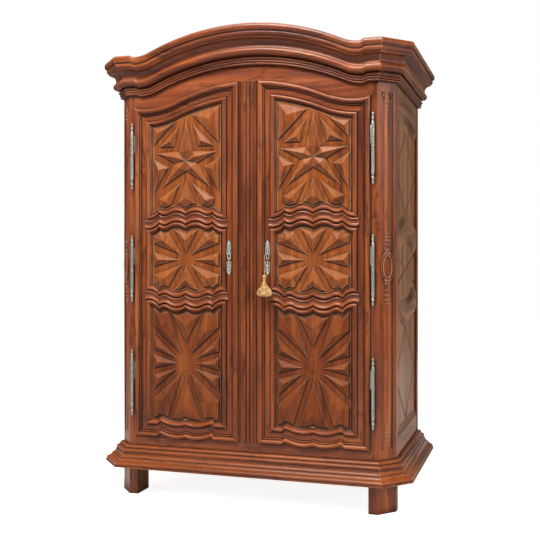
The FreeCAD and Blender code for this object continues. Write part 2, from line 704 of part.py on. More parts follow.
class Field:
    """The carved part of a panel, in shares of its half width and of its height. centre is where its
    rays meet, as a share of the height."""

    def __init__(self, panel, centre):
        low, low_lift, high, high_lift = panel
        self.edges = {-1: (low, low_lift + PANEL_MARGIN), 1: (high, high_lift - PANEL_MARGIN)}
        self.half = OPENING_HALF - PANEL_MARGIN
        self.tall = self.edges[1][1] - self.edges[-1][1]
        self.centre = self.edges[-1][1] + self.tall * centre

    def x(self, side, across):
        return DOOR_CENTRE + side * across * self.half

    def spots(self, side, corners):
        return [(self.x(side, across), self.centre + up * self.tall) for across, up in corners]

    def along(self, edge, xa, xb):
        """Points of the waved top (+1) or bottom (-1) edge between two places."""
        wave, lift = self.edges[edge]
        points = [wave.point(xa, lift)]
        stops = wave.stations(xa, xb)
        for x0, x1 in zip(stops, stops[1:]):
            middle = [wave.point((x0 + x1) / 2, lift)] if abs(x1 - x0) > SHORT_SPAN else []
            points += middle + [wave.point(x1, lift)]
        return points

    def corner(self, edge, side, tip, height, inner):
        """Fills a corner: from the tip to the side, then along the waved edge to inner."""
        start = self.spots(side, tip + [(1, height)])
        return start + self.along(edge, self.x(side, 1), self.x(side, inner))

    def middle(self, edge, tip, half):
        """Stands in the middle of the waved edge."""
        return self.spots(1, [(0, tip)]) + self.along(edge, self.x(-1, half), self.x(1, half))

    def slant(self, side, height):
        """Share at which a 45 degree line up from the side meets the waved top edge."""
        wave, lift = self.edges[1]
        start = self.centre + height * self.tall
        low, high = 0.0, 1.0
        for _ in range(30):
            share = (low + high) / 2
            above = start + (1 - share) * self.half > wave.height(self.x(side, share)) + lift
            low, high = (share, high) if above else (low, share)
        return low


def star_carving(panel):
    field = Field(panel, 0.568)
    top, arm_pit, arm, hip, foot, fork = ((0, 0.55), (0.236, 0.121), (0.965, 0.111), (0.354, -0.03),
                                          (0.761, -0.332), (0, -0.128))
    shapes = []
    shapes += ray(field.spots(1, [(0, 0), arm_pit, top, (-arm_pit[0], arm_pit[1])]))
    for side in (1, -1):
        shapes += ray(field.spots(side, [(0, 0), arm_pit, arm, hip]))
        shapes += ray(field.spots(side, [(0, 0), hip, foot, fork]))
        shapes += diamond_point(field.spots(side, [(0.188, 0.455), (0.354, 0.169), (0.858, 0.172)]))
        shapes += diamond_point(field.spots(side, [(1, 0.044), (0.52, -0.07), (1, -0.399)]))
        shapes += diamond_point(field.corner(1, side, [], 0.19, field.slant(side, 0.19)))
        low_edge = field.along(-1, field.x(side, 0.804), field.x(side, 0.45))
        shapes += diamond_point(field.spots(side, [(0.172, -0.26), (0.858, -0.445)]) + low_edge)
    shapes += diamond_point(field.middle(-1, -0.218, 0.311))
    return shapes


def middle_carving(panel):
    field = Field(panel, 0.498)
    shapes = []
    for side in (1, -1):
        shapes += diamond_point(field.corner(1, side, [(0.118, 0.075)], 0.301, 0.53))
        shapes += diamond_point(field.corner(-1, side, [(0.118, -0.075)], -0.272, 0.53))
        shapes += diamond_point(field.spots(side, [(0.214, 0), (1, 0.151), (1, -0.136)]))
    shapes += diamond_point(field.middle(1, 0.104, 0.37))
    shapes += diamond_point(field.middle(-1, -0.104, 0.37))
    return shapes


def lower_carving(panel):
    field = Field(panel, 0.516)
    shapes = []
    for side in (1, -1):
        shapes += diamond_point(field.corner(1, side, [(0.107, 0.068)], 0.337, 0.53))
        shapes += diamond_point(field.corner(-1, side, [(0.107, -0.068)], -0.333, 0.536))
        for across, tip, high, low in ((0.268, 0.043, 0.265, 0.115), (0.257, 0, 0.072, -0.061),
                                       (0.247, -0.043, -0.108, -0.269)):
            shapes += diamond_point(field.spots(side, [(across, tip), (1, high), (1, low)]))
    shapes += diamond_point(field.middle(1, 0.179, 0.429))
    shapes += diamond_point(field.middle(-1, -0.108, 0.44))
    return shapes


# ---------------------------------------------------------------- one door, drawn as the right one
def pegs_at(places):
    return [rod(V(x, -PEG_PROUD, z), V(0, 1, 0), PEG_RADIUS, DOOR_BACK - 4 + PEG_PROUD) for x, z in places]


def door_peg_places():
    places = []
    for side in (1, -1):
        x = opening_side(side, FRAME_WIDTH - PEG_INSET)
        sight = DOOR_TOP - FRAME_WIDTH + DOOR_WAVE.height(opening_side(side, 0))
        for middle in (CROSS_RAIL_UPPER, CROSS_RAIL_LOWER, DOOR_BOTTOM + BOTTOM_TENON, sight + TOP_TENON):
            places += [(x, middle - PEG_SPREAD), (x, middle + PEG_SPREAD)]
    return places


def tenon(side, middle, half):
    """A rail's tenon, from the sight edge out into the stile."""
    ends = [opening_side(side, 0), opening_side(side, FRAME_WIDTH - CROSS_RAIL_TIP + TENON_LENGTH)]
    y0 = TONGUE_FRONT
    return box(min(ends), max(ends), y0, y0 + TENON_THICKNESS, middle - half, middle + half)


def keyhole(y0, y1):
    round_part = rod(V(LOCK_X, y0, LOCK_Z), V(0, 1, 0), KEYHOLE_RADIUS, y1 - y0)
    slot = KEY_BIT_THICKNESS / 2 + 0.5
    return fused([round_part, box(LOCK_X - slot, LOCK_X + slot, y0, y1, LOCK_Z - KEY_BIT - 1.5, LOCK_Z)])


def door_leaf(centre):
    """Leaf of the door's half of a hinge, let in behind the torus."""
    back = HINGE_Y + HINGE_RADIUS - 1
    low = centre + (HINGE_HALF - HINGE_FINIAL - LEAF_HEIGHT) / 2
    return box(HINGE_X - LEAF_REACH, HINGE_X - 2, back - LEAF_THICKNESS, back, low, low + LEAF_HEIGHT)


def make_door():
    hollow = SCALLOP.flipped()
    cross = [(SCALLOP, CROSS_RAIL_UPPER), (hollow, CROSS_RAIL_LOWER)]
    regions = [cross_region(wave, level) for wave, level in cross]
    half_sweep = OPENING_HALF + FRAME_WIDTH - CROSS_RAIL_TIP + 4
    cross_rails = []
    for (wave, level), region in zip(cross, regions):
        rail = swept(cross_moulding(), wave, DOOR_CENTRE - half_sweep, DOOR_CENTRE + half_sweep, level)
        cross_rails.append(rail.common(region))
    top = swept(turned(frame_moulding(DOOR_BACK), 0, -1), DOOR_WAVE, DOOR_INNER, DOOR_OUTER, DOOR_TOP)
    top = top.common(top_region())
    front_only = [(6, 8), (6, -1), (0, -1)] + frame_moulding(8)[1:-1] + [(FRAME_WIDTH, 8)]
    foot = swept(turned(front_only, 0, 1), FOOT_SCALLOP, DOOR_INNER, DOOR_OUTER, DOOR_BOTTOM)
    inner_edge = FOOT_SCALLOP.steps(DOOR_OUTER, DOOR_INNER, DOOR_BOTTOM + FRAME_WIDTH)
    board = upright([(DOOR_INNER, DOOR_BOTTOM), (DOOR_OUTER, DOOR_BOTTOM),
                     FOOT_SCALLOP.point(DOOR_OUTER, DOOR_BOTTOM + FRAME_WIDTH)] + inner_edge, 8, DOOR_BACK)
    strip = box(DOOR_INNER, DOOR_OUTER, -1, 8, DOOR_BOTTOM, DOOR_BOTTOM + 22)
    foot = fused([foot, board, strip]).common(bottom_region())

    tenons = {"cross": [], "top": [], "bottom": []}
    for side in (1, -1):
        for _, level in cross:
            tenons["cross"].append(tenon(side, level, TENON_HALF_HEIGHT))
        sight = DOOR_TOP - FRAME_WIDTH + DOOR_WAVE.height(opening_side(side, 0))
        tenons["top"].append(tenon(side, sight + TOP_TENON, CORNER_TENON_HALF))
        tenons["bottom"].append(tenon(side, DOOR_BOTTOM + BOTTOM_TENON, CORNER_TENON_HALF))
    cross_rails = [fused([rail] + tenons["cross"][i::2]) for i, rail in enumerate(cross_rails)]
    top = fused([top] + tenons["top"])
    foot = fused([foot] + tenons["bottom"])

    panels = door_panels()
    tongues = [panel_prism(panel, TONGUE, TONGUE_FRONT, TONGUE_BACK) for panel in panels.values()]
    pegs = pegs_at(door_peg_places())
    taken = tongues + pegs + [corner_relief()]
    all_tenons = tenons["cross"] + tenons["top"] + tenons["bottom"]
    stiles = {}
    for side in (1, -1):
        stiles[side] = without(stile(side), [top_region(), bottom_region()] + regions + all_tenons + taken)
    stiles[1] = without(stiles[1], [door_leaf(centre) for centre in HINGE_CENTRES])
    stiles[-1] = without(stiles[-1], [keyhole(-FAR, FAR)])

    carving = {"top": star_carving, "middle": middle_carving, "bottom": lower_carving}
    door = {
        "hinge_stile": stiles[1],
        "lock_stile": stiles[-1],
        "top_rail": without(top, taken),
        "cross_rails": group([without(rail, taken) for rail in cross_rails]),
        "bottom_rail": without(foot, taken),
        "pegs": group(pegs),
    }
    for name, panel in panels.items():
        board = [panel_prism(panel, TONGUE, TONGUE_FRONT, TONGUE_BACK),
                 panel_prism(panel, -PANEL_SHADOW, PANEL_GROUND, TONGUE_BACK)]
        door[name + "_panel"] = fused(board + carving[name](panel))
    return door


# ---------------------------------------------------------------- hinges, locks, key and tassel
def turned_part(section, x, y):
    """Solid of revolution about an upright axis; section is (radius, z) from bottom to top."""
    steps = [(0, section[0][-1])] + section + [(0, section[-1][-1])]
    face = face_of(steps, lambda r, z: V(x + r, y, z))
    return face.revolve(V(x, y, 0), V(0, 0, 1), 360)


def knuckle(centre):
    """Upper barrel of a hinge, with its turned finial."""
    end = centre + HINGE_HALF - HINGE_FINIAL
    radius = HINGE_RADIUS
    section = [(radius, centre + HINGE_SPLIT / 2), (radius, end - 12), (radius + 1.2, end - 9),
               (radius + 1.2, end - 5), (radius - 1, end), (radius - 4.5, end + 4),
               (radius - 0.5, end + 9, radius - 4, end + 16), (radius - 3, end + 18), (radius - 3, end + 20),
               (radius - 1, end + 25, radius - 4.5, end + 32), (2.5, end + 37), (1.5, end + HINGE_FINIAL)]
    return turned_part(section, HINGE_X, HINGE_Y)


def make_hinges():
    pin_bore = HINGE_PIN_RADIUS + HINGE_PIN_CLEARANCE
    half_leaf = LEAF_THICKNESS / 2
    lower, upper, post_slots = [], [], []
    for centre in HINGE_CENTRES:
        barrel = knuckle(centre)
        bore = rod(V(HINGE_X, HINGE_Y, centre), V(0, 0, 1), pin_bore, HINGE_PIN_REACH + 1)
        upper.append(fused([barrel, door_leaf(centre)]).cut(bore))
        low = centre - (HINGE_HALF - HINGE_FINIAL + LEAF_HEIGHT) / 2
        post_leaf = box(HINGE_X - half_leaf, HINGE_X + half_leaf, HINGE_Y + 2, HINGE_Y + LEAF_REACH,
                        low, low + LEAF_HEIGHT)
        pin = rod(V(HINGE_X, HINGE_Y, centre - HINGE_PIN_REACH), V(0, 0, 1), HINGE_PIN_RADIUS,
                  2 * HINGE_PIN_REACH)
        lower.append(fused([barrel.mirror(V(0, 0, centre), V(0, 0, 1)), post_leaf, pin]))
        post_slots.append(post_leaf)
    return group(lower), group(upper), post_slots


def make_escutcheon():
    """Pierced plate with lobes either side of the keyhole."""
    y0, y1 = -ESCUTCHEON_THICKNESS, 0
    bar = ESCUTCHEON_HALF_WIDTH * 0.45
    plate = [box(LOCK_X - bar, LOCK_X + bar, y0, y1, ESCUTCHEON_CENTRE - ESCUTCHEON_HALF_HEIGHT + 10,
                 ESCUTCHEON_CENTRE + ESCUTCHEON_HALF_HEIGHT - 10)]
    holes = [keyhole(y0 - 1, y1 + 1)]
    for offset, share in ((-78, 0.5), (-58, 0.85), (-34, 1.0), (-4, 1.0), (10, 1.0), (34, 1.0),
                          (58, 0.85), (78, 0.5)):
        z = ESCUTCHEON_CENTRE + offset * ESCUTCHEON_HALF_HEIGHT / 87
        radius = ESCUTCHEON_HALF_WIDTH * share
        plate.append(rod(V(LOCK_X, y0, z), V(0, 1, 0), radius, ESCUTCHEON_THICKNESS))
        if abs(offset) > 20 and share > 0.6:
            for side in (-1, 1):
                holes.append(rod(V(LOCK_X + side * radius * 0.5, y0 - 1, z), V(0, 1, 0), radius * 0.27, 4))
    return fused(plate).cut(holes)


def make_lock():
    """Box lock screwed to the back of the lock stile, and its bolt, drawn back."""
    y0, y1 = DOOR_BACK, DOOR_BACK + CASE_DEPTH
    z0, z1 = LOCK_Z - CASE_HALF_HEIGHT, LOCK_Z + CASE_HALF_HEIGHT
    wall = CASE_WALL
    bolt_y = (y0 + y1) / 2 - BOLT_THICKNESS / 2
    bolt = box(BOLT_TIP, BOLT_TIP + BOLT_LENGTH, bolt_y, bolt_y + BOLT_THICKNESS,
               LOCK_Z - BOLT_HALF_HEIGHT, LOCK_Z + BOLT_HALF_HEIGHT)
    gap = BOLT_CLEARANCE
    mouth = box(CASE_LEFT - 1, CASE_LEFT + wall + 1, bolt_y - gap, bolt_y + BOLT_THICKNESS + gap,
                LOCK_Z - BOLT_HALF_HEIGHT - gap, LOCK_Z + BOLT_HALF_HEIGHT + gap)
    case = box(CASE_LEFT, CASE_RIGHT, y0, y1, z0, z1)
    hollow = box(CASE_LEFT + wall, CASE_RIGHT - wall, y0 + wall, y1 - wall, z0 + wall, z1 - wall)
    case = case.cut([hollow, mouth, keyhole(y0 - 1, y0 + wall + 1)])
    return case, bolt


def make_keeper():
    """Plate let into the centre stile's edge, and the room behind it for the bolt."""
    y0 = DOOR_BACK + CASE_DEPTH / 2 - BOLT_THICKNESS / 2 - BOLT_CLEARANCE
    y1 = y0 + BOLT_THICKNESS + 2 * BOLT_CLEARANCE
    half = BOLT_HALF_HEIGHT + BOLT_CLEARANCE
    edge = CENTRE_STILE_HALF
    plate = box(edge - KEEPER_THICKNESS, edge, y0 - 4, y1 + 4, LOCK_Z - KEEPER_HALF_HEIGHT,
                LOCK_Z + KEEPER_HALF_HEIGHT)
    room = box(BOLT_TIP - BOLT_THROW - 2, edge + 1, y0, y1, LOCK_Z - half, LOCK_Z + half)
    return plate.cut(room), fused([plate, room])


def make_key():
    """Pin, collar, bit and a ring bow, partly turned in its lock."""
    def at(y):
        return V(LOCK_X, y, LOCK_Z)
    forward = V(0, 1, 0)
    inner_end = KEY_BOW_CENTRE + KEY_BOW_RADIUS - KEY_BOW_WIRE / 2
    pin = rod(at(inner_end), forward, KEY_RADIUS, KEY_END - inner_end)
    collar = rod(at(-ESCUTCHEON_THICKNESS - 6), forward, KEY_RADIUS + 2, 4)
    neck = rod(at(inner_end + 3), forward, KEY_RADIUS + 1.4, 3)
    half = KEY_BIT_THICKNESS / 2
    margin = CASE_WALL + 1.5
    bit = box(LOCK_X - half, LOCK_X + half, DOOR_BACK + margin, DOOR_BACK + CASE_DEPTH - margin,
              LOCK_Z - KEY_BIT, LOCK_Z)
    bow = Part.makeTorus(KEY_BOW_RADIUS, KEY_BOW_WIRE, at(KEY_BOW_CENTRE), V(1, 0, 0))
    key = fused([pin, collar, neck, bit, bow])
    key.rotate(at(0), forward, KEY_REST_TURN)
    return key


def ring_of(half_width, half_depth, z):
    ellipse = Part.Ellipse(V(0, 0, 0), half_width, half_depth).toShape()
    ellipse.translate(V(LOCK_X, CORD_Y, z))
    return Part.Wire(ellipse)


def make_tassel():
    """Turned head, neck and a flattened skirt of threads."""
    deep = TASSEL_HALF_DEPTH / TASSEL_HALF_WIDTH
    head = TASSEL_HEAD
    heights = TASSEL_TOP - TASSEL_BOTTOM
    skirt = [ring_of(TASSEL_NECK, TASSEL_NECK * 0.9, TASSEL_TOP - heights * 0.30)]
    for share, drop in ((0.62, 0.50), (0.88, 0.75), (1.0, 1.0)):
        width = TASSEL_HALF_WIDTH * share
        skirt.append(ring_of(width, max(width * deep, TASSEL_NECK * 0.9), TASSEL_TOP - heights * drop))
    body = Part.makeLoft(skirt, True, False)
    knot = [ring_of(CORD_RADIUS + 2, CORD_RADIUS + 2, TASSEL_TOP),
            ring_of(head * 0.75, head * 0.7, TASSEL_TOP - heights * 0.06),
            ring_of(head, head * 0.9, TASSEL_TOP - heights * 0.16),
            ring_of(TASSEL_NECK, TASSEL_NECK * 0.9, TASSEL_TOP - heights * 0.30)]
    return fused([Part.makeLoft(knot, True, False), body])


def make_cord():
    """The straight hanging cord, in front of the key's bow."""
    length = LOCK_Z - TASSEL_TOP
    print("cord length", length)
    return rod(V(LOCK_X, CORD_Y, TASSEL_TOP), V(0, 0, 1), CORD_RADIUS, length)


# ---------------------------------------------------------------- carcass
def body_plan(z0, z1, y0=0.0):
    """The cabinet's plan inside its outer faces, from y0 back."""
    side, front = SIDE_FACE, FRONT_HALF_WIDTH
    whole = plan([(-front, 0), (front, 0), (side, CORNER_CUT), (side, BODY_DEPTH), (-side, BODY_DEPTH),
                  (-side, CORNER_CUT)], z0, z1)
    return whole.common(box(-FAR * 3, FAR * 3, y0, FAR * 3, z0 - 1, z1 + 1))


def on_corner(shape):
    """Drawn as on the front, stood on the middle of the right cut-off corner."""
    shape = shape.copy()
    shape.rotate(V(0, 0, 0), V(0, 0, 1), 45)
    shape.translate(V(FRONT_HALF_WIDTH + CORNER_CUT / 2, CORNER_CUT / 2, 0))
    return shape


def on_side(shape):
    """Drawn as on the front, stood on the right side's rails."""
    shape = shape.copy()
    shape.rotate(V(0, 0, 0), V(0, 0, 1), 90)
    shape.translate(V(SIDE_FACE - SIDE_RECESS, SIDE_CENTRE, 0))
    return shape


def oval(half_width, half_height, z, lift=0.0):
    """Outline of four arcs round (0, z)."""
    w, h = half_width + lift, half_height + lift
    jx, jz = w * 0.78, h - w * 0.55
    return [(jx, z + jz), (0, z + h, -jx, z + jz), (-w, z, -jx, z - jz), (0, z - h, jx, z - jz),
            (w, z, jx, z + jz)]


def front_post(hinge_slots, tongues):
    rebated = plan([(POST_EDGE, 0), (FRONT_HALF_WIDTH, 0), (SIDE_FACE, CORNER_CUT), (SIDE_FACE, POST_DEPTH),
                    (LIP_EDGE, POST_DEPTH), (LIP_EDGE, LIP_FRONT), (POST_EDGE, LIP_FRONT)],
                   FOOT_HEIGHT, BODY_TOP)
    foot = plan([(LIP_EDGE, 0), (FRONT_HALF_WIDTH, 0), (SIDE_FACE, CORNER_CUT), (SIDE_FACE, POST_DEPTH),
                 (LIP_EDGE, POST_DEPTH)], 0, FOOT_HEIGHT)
    peak = FOOT_HEIGHT + BASE_HEIGHT + CORNER_MARGIN
    low = peak - SUNK_POINT
    high = CORNICE_BOTTOM - CORNER_TOP_MARGIN
    hollow = SUNK_HALF * 0.6
    strip = [(-SUNK_HALF, low), [(-hollow, low + SUNK_POINT * 0.25), (0, peak)],
             [(hollow, low + SUNK_POINT * 0.25), (SUNK_HALF, low)], (SUNK_HALF, high), (-SUNK_HALF, high)]
    sunk = upright(strip, -1, SUNK_DEPTH)
    rib = face_of([(-RIB_HALF, SUNK_DEPTH), (0, -RIB_PROUD, RIB_HALF, SUNK_DEPTH)], lambda x, y: V(x, y, low))
    rib = rib.extrude(V(0, 0, high - low)).common(upright(strip, -RIB_PROUD - 1, SUNK_DEPTH))

    def ring(inset_by, width, proud):
        outer, inner = (upright(oval(MEDALLION_HALF_WIDTH, MEDALLION_HALF_HEIGHT, MEDALLION_CENTRE, -lift),
                                -proud, -BOSS_PROUD + 1) for lift in (inset_by, inset_by + width))
        return without(outer, [inner])

    boss = upright(oval(MEDALLION_HALF_WIDTH, MEDALLION_HALF_HEIGHT, MEDALLION_CENTRE), -BOSS_PROUD,
                   SUNK_DEPTH + 1)
    rims = [ring(0, RIM_WIDTH, RIM_PROUD), ring(INNER_RIM_INSET, INNER_RIM_WIDTH, RIM_PROUD)]
    post = without(fused([rebated, foot]), [on_corner(sunk)])
    post = fused([post, on_corner(rib), on_corner(boss)] + [on_corner(rim) for rim in rims])
    return without(post, hinge_slots + tongues)


def back_post(tongues):
    post = box(SIDE_FACE - BACK_POST_WIDTH, SIDE_FACE, BODY_DEPTH - BACK_POST_DEPTH, BODY_DEPTH, 0, BODY_TOP)
    return without(post, tongues)


def stepped(make_layer):
    """Layers of a rail whose edge steps back towards the panel."""
    drop = SIDE_PANEL_FRONT / (SIDE_STEPS + 1)
    layers = [make_layer(0, SIDE_STEPS * drop, SIDE_RAIL_DEPTH)]
    for i in range(SIDE_STEPS):
        layers.append(make_layer((SIDE_STEPS - i) * SIDE_STEP, i * drop, (i + 1) * drop))
    return fused(layers)


def incised(start, end):
    """Bar along an incised line on a side panel, set edgeways."""
    (x0, z0), (x1, z1) = start, end
    length = math.hypot(x1 - x0, z1 - z0)
    nx, nz = -(z1 - z0) / length, (x1 - x0) / length
    half, deep, face = SIDE_GROOVE / 2, SIDE_GROOVE_DEPTH, SIDE_PANEL_FRONT
    corners = [V(x0 + nx * half, face, z0 + nz * half), V(x0, face + deep, z0),
               V(x0 - nx * half, face, z0 - nz * half), V(x0, face - deep, z0)]
    return Part.Face(Part.makePolygon(corners + corners[:1])).extrude(V(x1 - x0, 0, z1 - z0))


def make_side():
    """Rails and panels of the right side."""
    hollow = SIDE_WAVE.flipped()
    edge = SIDE_HALF
    upper, lower, half = SIDE_UPPER_RAIL, SIDE_LOWER_RAIL, SIDE_RAIL_HALF

    def top_layer(step, y0, y1):
        return upright([SIDE_WAVE.point(-edge, SIDE_TOP_EDGE + step)]
                       + SIDE_WAVE.steps(-edge, edge, SIDE_TOP_EDGE + step)
                       + [(edge, BODY_TOP), (-edge, BODY_TOP)], y0, y1)

    def upper_layer(step, y0, y1):
        return upright(outline_between(SIDE_WAVE, upper - half + step, SIDE_WAVE, upper + half - step,
                                       -edge, edge), y0, y1)

    def lower_layer(step, y0, y1):
        return upright(outline_between(hollow, lower - half + step, hollow, lower + half - step,
                                       -edge, edge), y0, y1)

    def bottom_layer(step, y0, y1):
        return box(-edge, edge, y0, y1, FOOT_HEIGHT, SIDE_BOTTOM_EDGE - step)

    openings = {
        "top": (SIDE_WAVE, upper + half, SIDE_WAVE, SIDE_TOP_EDGE),
        "middle": (hollow, lower + half, SIDE_WAVE, upper - half),
        "bottom": (LEVEL, SIDE_BOTTOM_EDGE, hollow, lower - half),
    }

    def prism(opening, reach, y0, y1):
        low, low_lift, high, high_lift = opening
        return upright(outline_between(low, low_lift - reach, high, high_lift + reach,
                                       -edge - reach, edge + reach), y0, y1)

    back = SIDE_RAIL_DEPTH - 10
    panels, tongues = {}, []
    for name, opening in openings.items():
        tongue = prism(opening, TONGUE - 0.5, back - TENON_THICKNESS, back)
        tongues.append(tongue)
        panels[name] = fused([prism(opening, -0.5, SIDE_PANEL_FRONT, back), tongue])
    margin = edge - SIDE_LINE_MARGIN
    fields = {"top": (upper + half, SIDE_TOP_EDGE), "bottom": (SIDE_BOTTOM_EDGE, lower - half)}
    for name, (low, high) in fields.items():
        centre = low + (high - low) * LOZENGE_CENTRES[name]
        reach = (high - low) * LOZENGE_SHARE
        points = [(0, centre + reach), (margin, centre), (0, centre - reach), (-margin, centre)]
        lines = [incised(a, b) for a, b in zip(points, points[1:] + points[:1])]
        panels[name] = without(panels[name], lines)
    field = upper - lower - 2 * half
    low, high = (lower + half + field * share for share in SALTIRE_ENDS)
    saltire = [incised((-margin, low), (margin, high)), incised((-margin, high), (margin, low))]
    panels["middle"] = without(panels["middle"], saltire)
    layers = (top_layer, upper_layer, lower_layer, bottom_layer)
    rails = [without(stepped(layer), tongues) for layer in layers]
    return (group([on_side(rail) for rail in rails]),
            {name: on_side(panel) for name, panel in panels.items()},
            [on_side(tongue) for tongue in tongues])


def reed(x, z0, z1):
    half = REED_WIDTH / 2
    face = face_of([(x - half, 0), (x, -REED_HEIGHT, x + half, 0)], lambda a, b: V(a, b, z0))
    return face.extrude(V(0, 0, z1 - z0))


def make_frieze():
    low = DOOR_TOP + DOOR_GAP
    high = CORNICE_BOTTOM + FRIEZE_HIDDEN
    front = upright(outline_between(DOOR_WAVE, low, CORNICE_WAVE, high, -POST_EDGE, POST_EDGE), 0, LIP_FRONT)
    behind = upright(outline_between(DOOR_WAVE, low - STOP_LIP, CORNICE_WAVE, high, -LIP_EDGE, LIP_EDGE),
                     LIP_FRONT, RAIL_DEPTH)
    return fused([front, behind])


# ---------------------------------------------------------------- base and cornice
BASE_SECTION = [(0, 0), (85, 0), (85, 7), (81, 7), (80, 19, 71, 27), (61, 33, 56, 42), (52, 42), (52, 46),
                (47, 46), (41, 53, 38, 64), (34, 64), (34, 69), (33, 80, 24, 86), (19, 86), (19, 90),
                (15, 99, 6, 103), (0, 103)]
CORNICE_SECTION = [(0, 0), (14, 0), (19, 5.5, 15, 11), (16, 12), (23, 17.5, 19, 23), (20, 24),
                   (28, 30, 24, 36), (19, 38), (19, 43), (28, 44), (54, 59, 43, 82), (44, 106, 72, 124),
                   (77, 124), (77, 130), (87, 138, 88, 151), (88, 156), (94, 156), (100, 172, 94, 189),
                   (0, 189)]


def stretched(section, projection, height):
    """The section at its real size, as (y, z) with the wall at y = 0."""
    wide = max(value for step in section for value in step[0::2])
    high = max(value for step in section for value in step[1::2])
    steps = []
    for step in section:
        pairs = [(-step[i] * projection / wide, step[i + 1] * height / high) for i in range(0, len(step), 2)]
        steps.append(tuple(value for pair in pairs for value in pair))
    return steps


CORNER = (FRONT_HALF_WIDTH, 0.0)
SIDE_CORNER = (SIDE_FACE, CORNER_CUT)
SIDE_END = (SIDE_FACE, BODY_DEPTH)


def mitred(corner, angle, reach):
    """A point out from the corner, along the mitre at this angle to the x axis."""
    lean = math.radians(angle)
    return corner[0] + reach * math.cos(lean), corner[1] + reach * math.sin(lean)


def run_region(corners, z0, z1, reach):
    """Plan region of one length of moulding, between its mitres."""
    (a, angle_a), (b, angle_b) = corners
    return plan([a, b, mitred(b, angle_b, reach), mitred(a, angle_a, reach)], z0, z1)


def straight_run(section, start, end, level, overrun):
    direction = V(end[0] - start[0], end[1] - start[1], 0)
    direction.normalize()
    outward = V(direction.y, -direction.x, 0)
    origin = V(start[0], start[1], level) - direction * overrun
    length = math.hypot(end[0] - start[0], end[1] - start[1]) + 2 * overrun
    face = face_of(section, lambda y, z: origin - outward * y + V(0, 0, z))
    return face.extrude(direction * length)


def make_returns(section, projection, level, height):
    """Corner and side lengths of a moulding on the right."""
    reach = projection * 1.5
    z0, z1 = level - 1, level + height + 1
    corner = straight_run(section, CORNER, SIDE_CORNER, level, reach)
    corner = corner.common(run_region(((CORNER, -67.5), (SIDE_CORNER, -22.5)), z0, z1, reach))
    side = straight_run(section, SIDE_CORNER, SIDE_END, level, reach)
    side = side.common(plan([SIDE_CORNER, SIDE_END, (SIDE_FACE + reach, BODY_DEPTH),
                             mitred(SIDE_CORNER, -22.5, reach * 1.1)], z0, z1))
    return [corner, side]


def make_front_run(section, projection, wave, level, height):
    half = FRONT_HALF_WIDTH + projection
    reach = projection * 1.5
    left = (-CORNER[0], CORNER[1])
    region = run_region(((left, -112.5), (CORNER, -67.5)), level - FAR, level + height + FAR, reach)
    return swept(section, wave, -half, half, level).common(region)


# ---------------------------------------------------------------- carcass joints and boards
def side_tenons():
    """Tenons of the right side's rails, two to a rail, which enter the front and back posts."""
    half = SIDE_TENON_HALF
    spans = [(SIDE_TOP_EDGE + half, BODY_TOP - half)]
    spans += [(middle - half, middle + half) for middle in (SIDE_UPPER_RAIL, SIDE_LOWER_RAIL)]
    spans.append((FOOT_HEIGHT + half, SIDE_BOTTOM_EDGE - half))
    inner, outer = SIDE_HALF - TENON_ROOT, SIDE_HALF + JOINT_TENON
    tenons = []
    for z0, z1 in spans:
        ends = [box(a, b, TONGUE, TONGUE + TENON_THICKNESS, z0, z1)
                for a, b in ((-outer, -inner), (inner, outer))]
        tenons.append([on_side(end) for end in ends])
    return tenons


def front_tenons():
    """Right-hand tenons of the frieze and of the front bottom rail."""
    reach = POST_EDGE + JOINT_TENON / 2
    back = LIP_FRONT - 4
    frieze = box(POST_EDGE - 10, reach, back - TENON_THICKNESS, back, DOOR_TOP + 22, CORNICE_BOTTOM + 60)
    bottom = box(POST_EDGE - 10, reach, back - TENON_THICKNESS, back, FOOT_HEIGHT + 25, BOTTOM_RAIL_TOP - 20)
    return frieze, bottom


def back_rail_boxes():
    """The three back rails with their tenons, across the whole back."""
    edge = SIDE_FACE - BACK_POST_WIDTH
    rails = []
    middle = (FOOT_HEIGHT + BODY_TOP) / 2
    for z0 in (FOOT_HEIGHT, middle - BACK_RAIL_HEIGHT / 2, BODY_TOP - BACK_RAIL_HEIGHT):
        rail = box(-edge, edge, BACK_RAIL_FRONT, BODY_DEPTH - BACK_RAIL_SETBACK,
                   z0, z0 + BACK_RAIL_HEIGHT)
        y0 = BACK_RAIL_FRONT + 8
        rails.append((rail, box(-edge - JOINT_TENON, edge + JOINT_TENON, y0, y0 + TENON_THICKNESS,
                                z0 + 20, z0 + BACK_RAIL_HEIGHT - 20)))
    return rails


def boards_across(x_half, y0, y1, z0, z1, taken):
    """Boards that run from side to side, laid from front to back."""
    width = (y1 - y0) / BOARD_COUNT
    boards = []
    for i in range(BOARD_COUNT):
        board = box(-x_half, x_half, y0 + i * width, y0 + (i + 1) * width - BOARD_JOINT, z0, z1)
        boards.append(without(board, taken))
    return boards


def make_back_boards():
    edge = SIDE_FACE - BACK_POST_WIDTH
    width = 2 * edge / BACK_PLANKS
    low, high = FOOT_HEIGHT + BACK_RAIL_HEIGHT / 2, BODY_TOP - 30
    front = BACK_RAIL_FRONT - BACK_BOARD_THICKNESS
    return group([box(-edge + i * width + BOARD_JOINT / 2, -edge + (i + 1) * width - BOARD_JOINT / 2,
                      front, BACK_RAIL_FRONT, low, high) for i in range(BACK_PLANKS)])


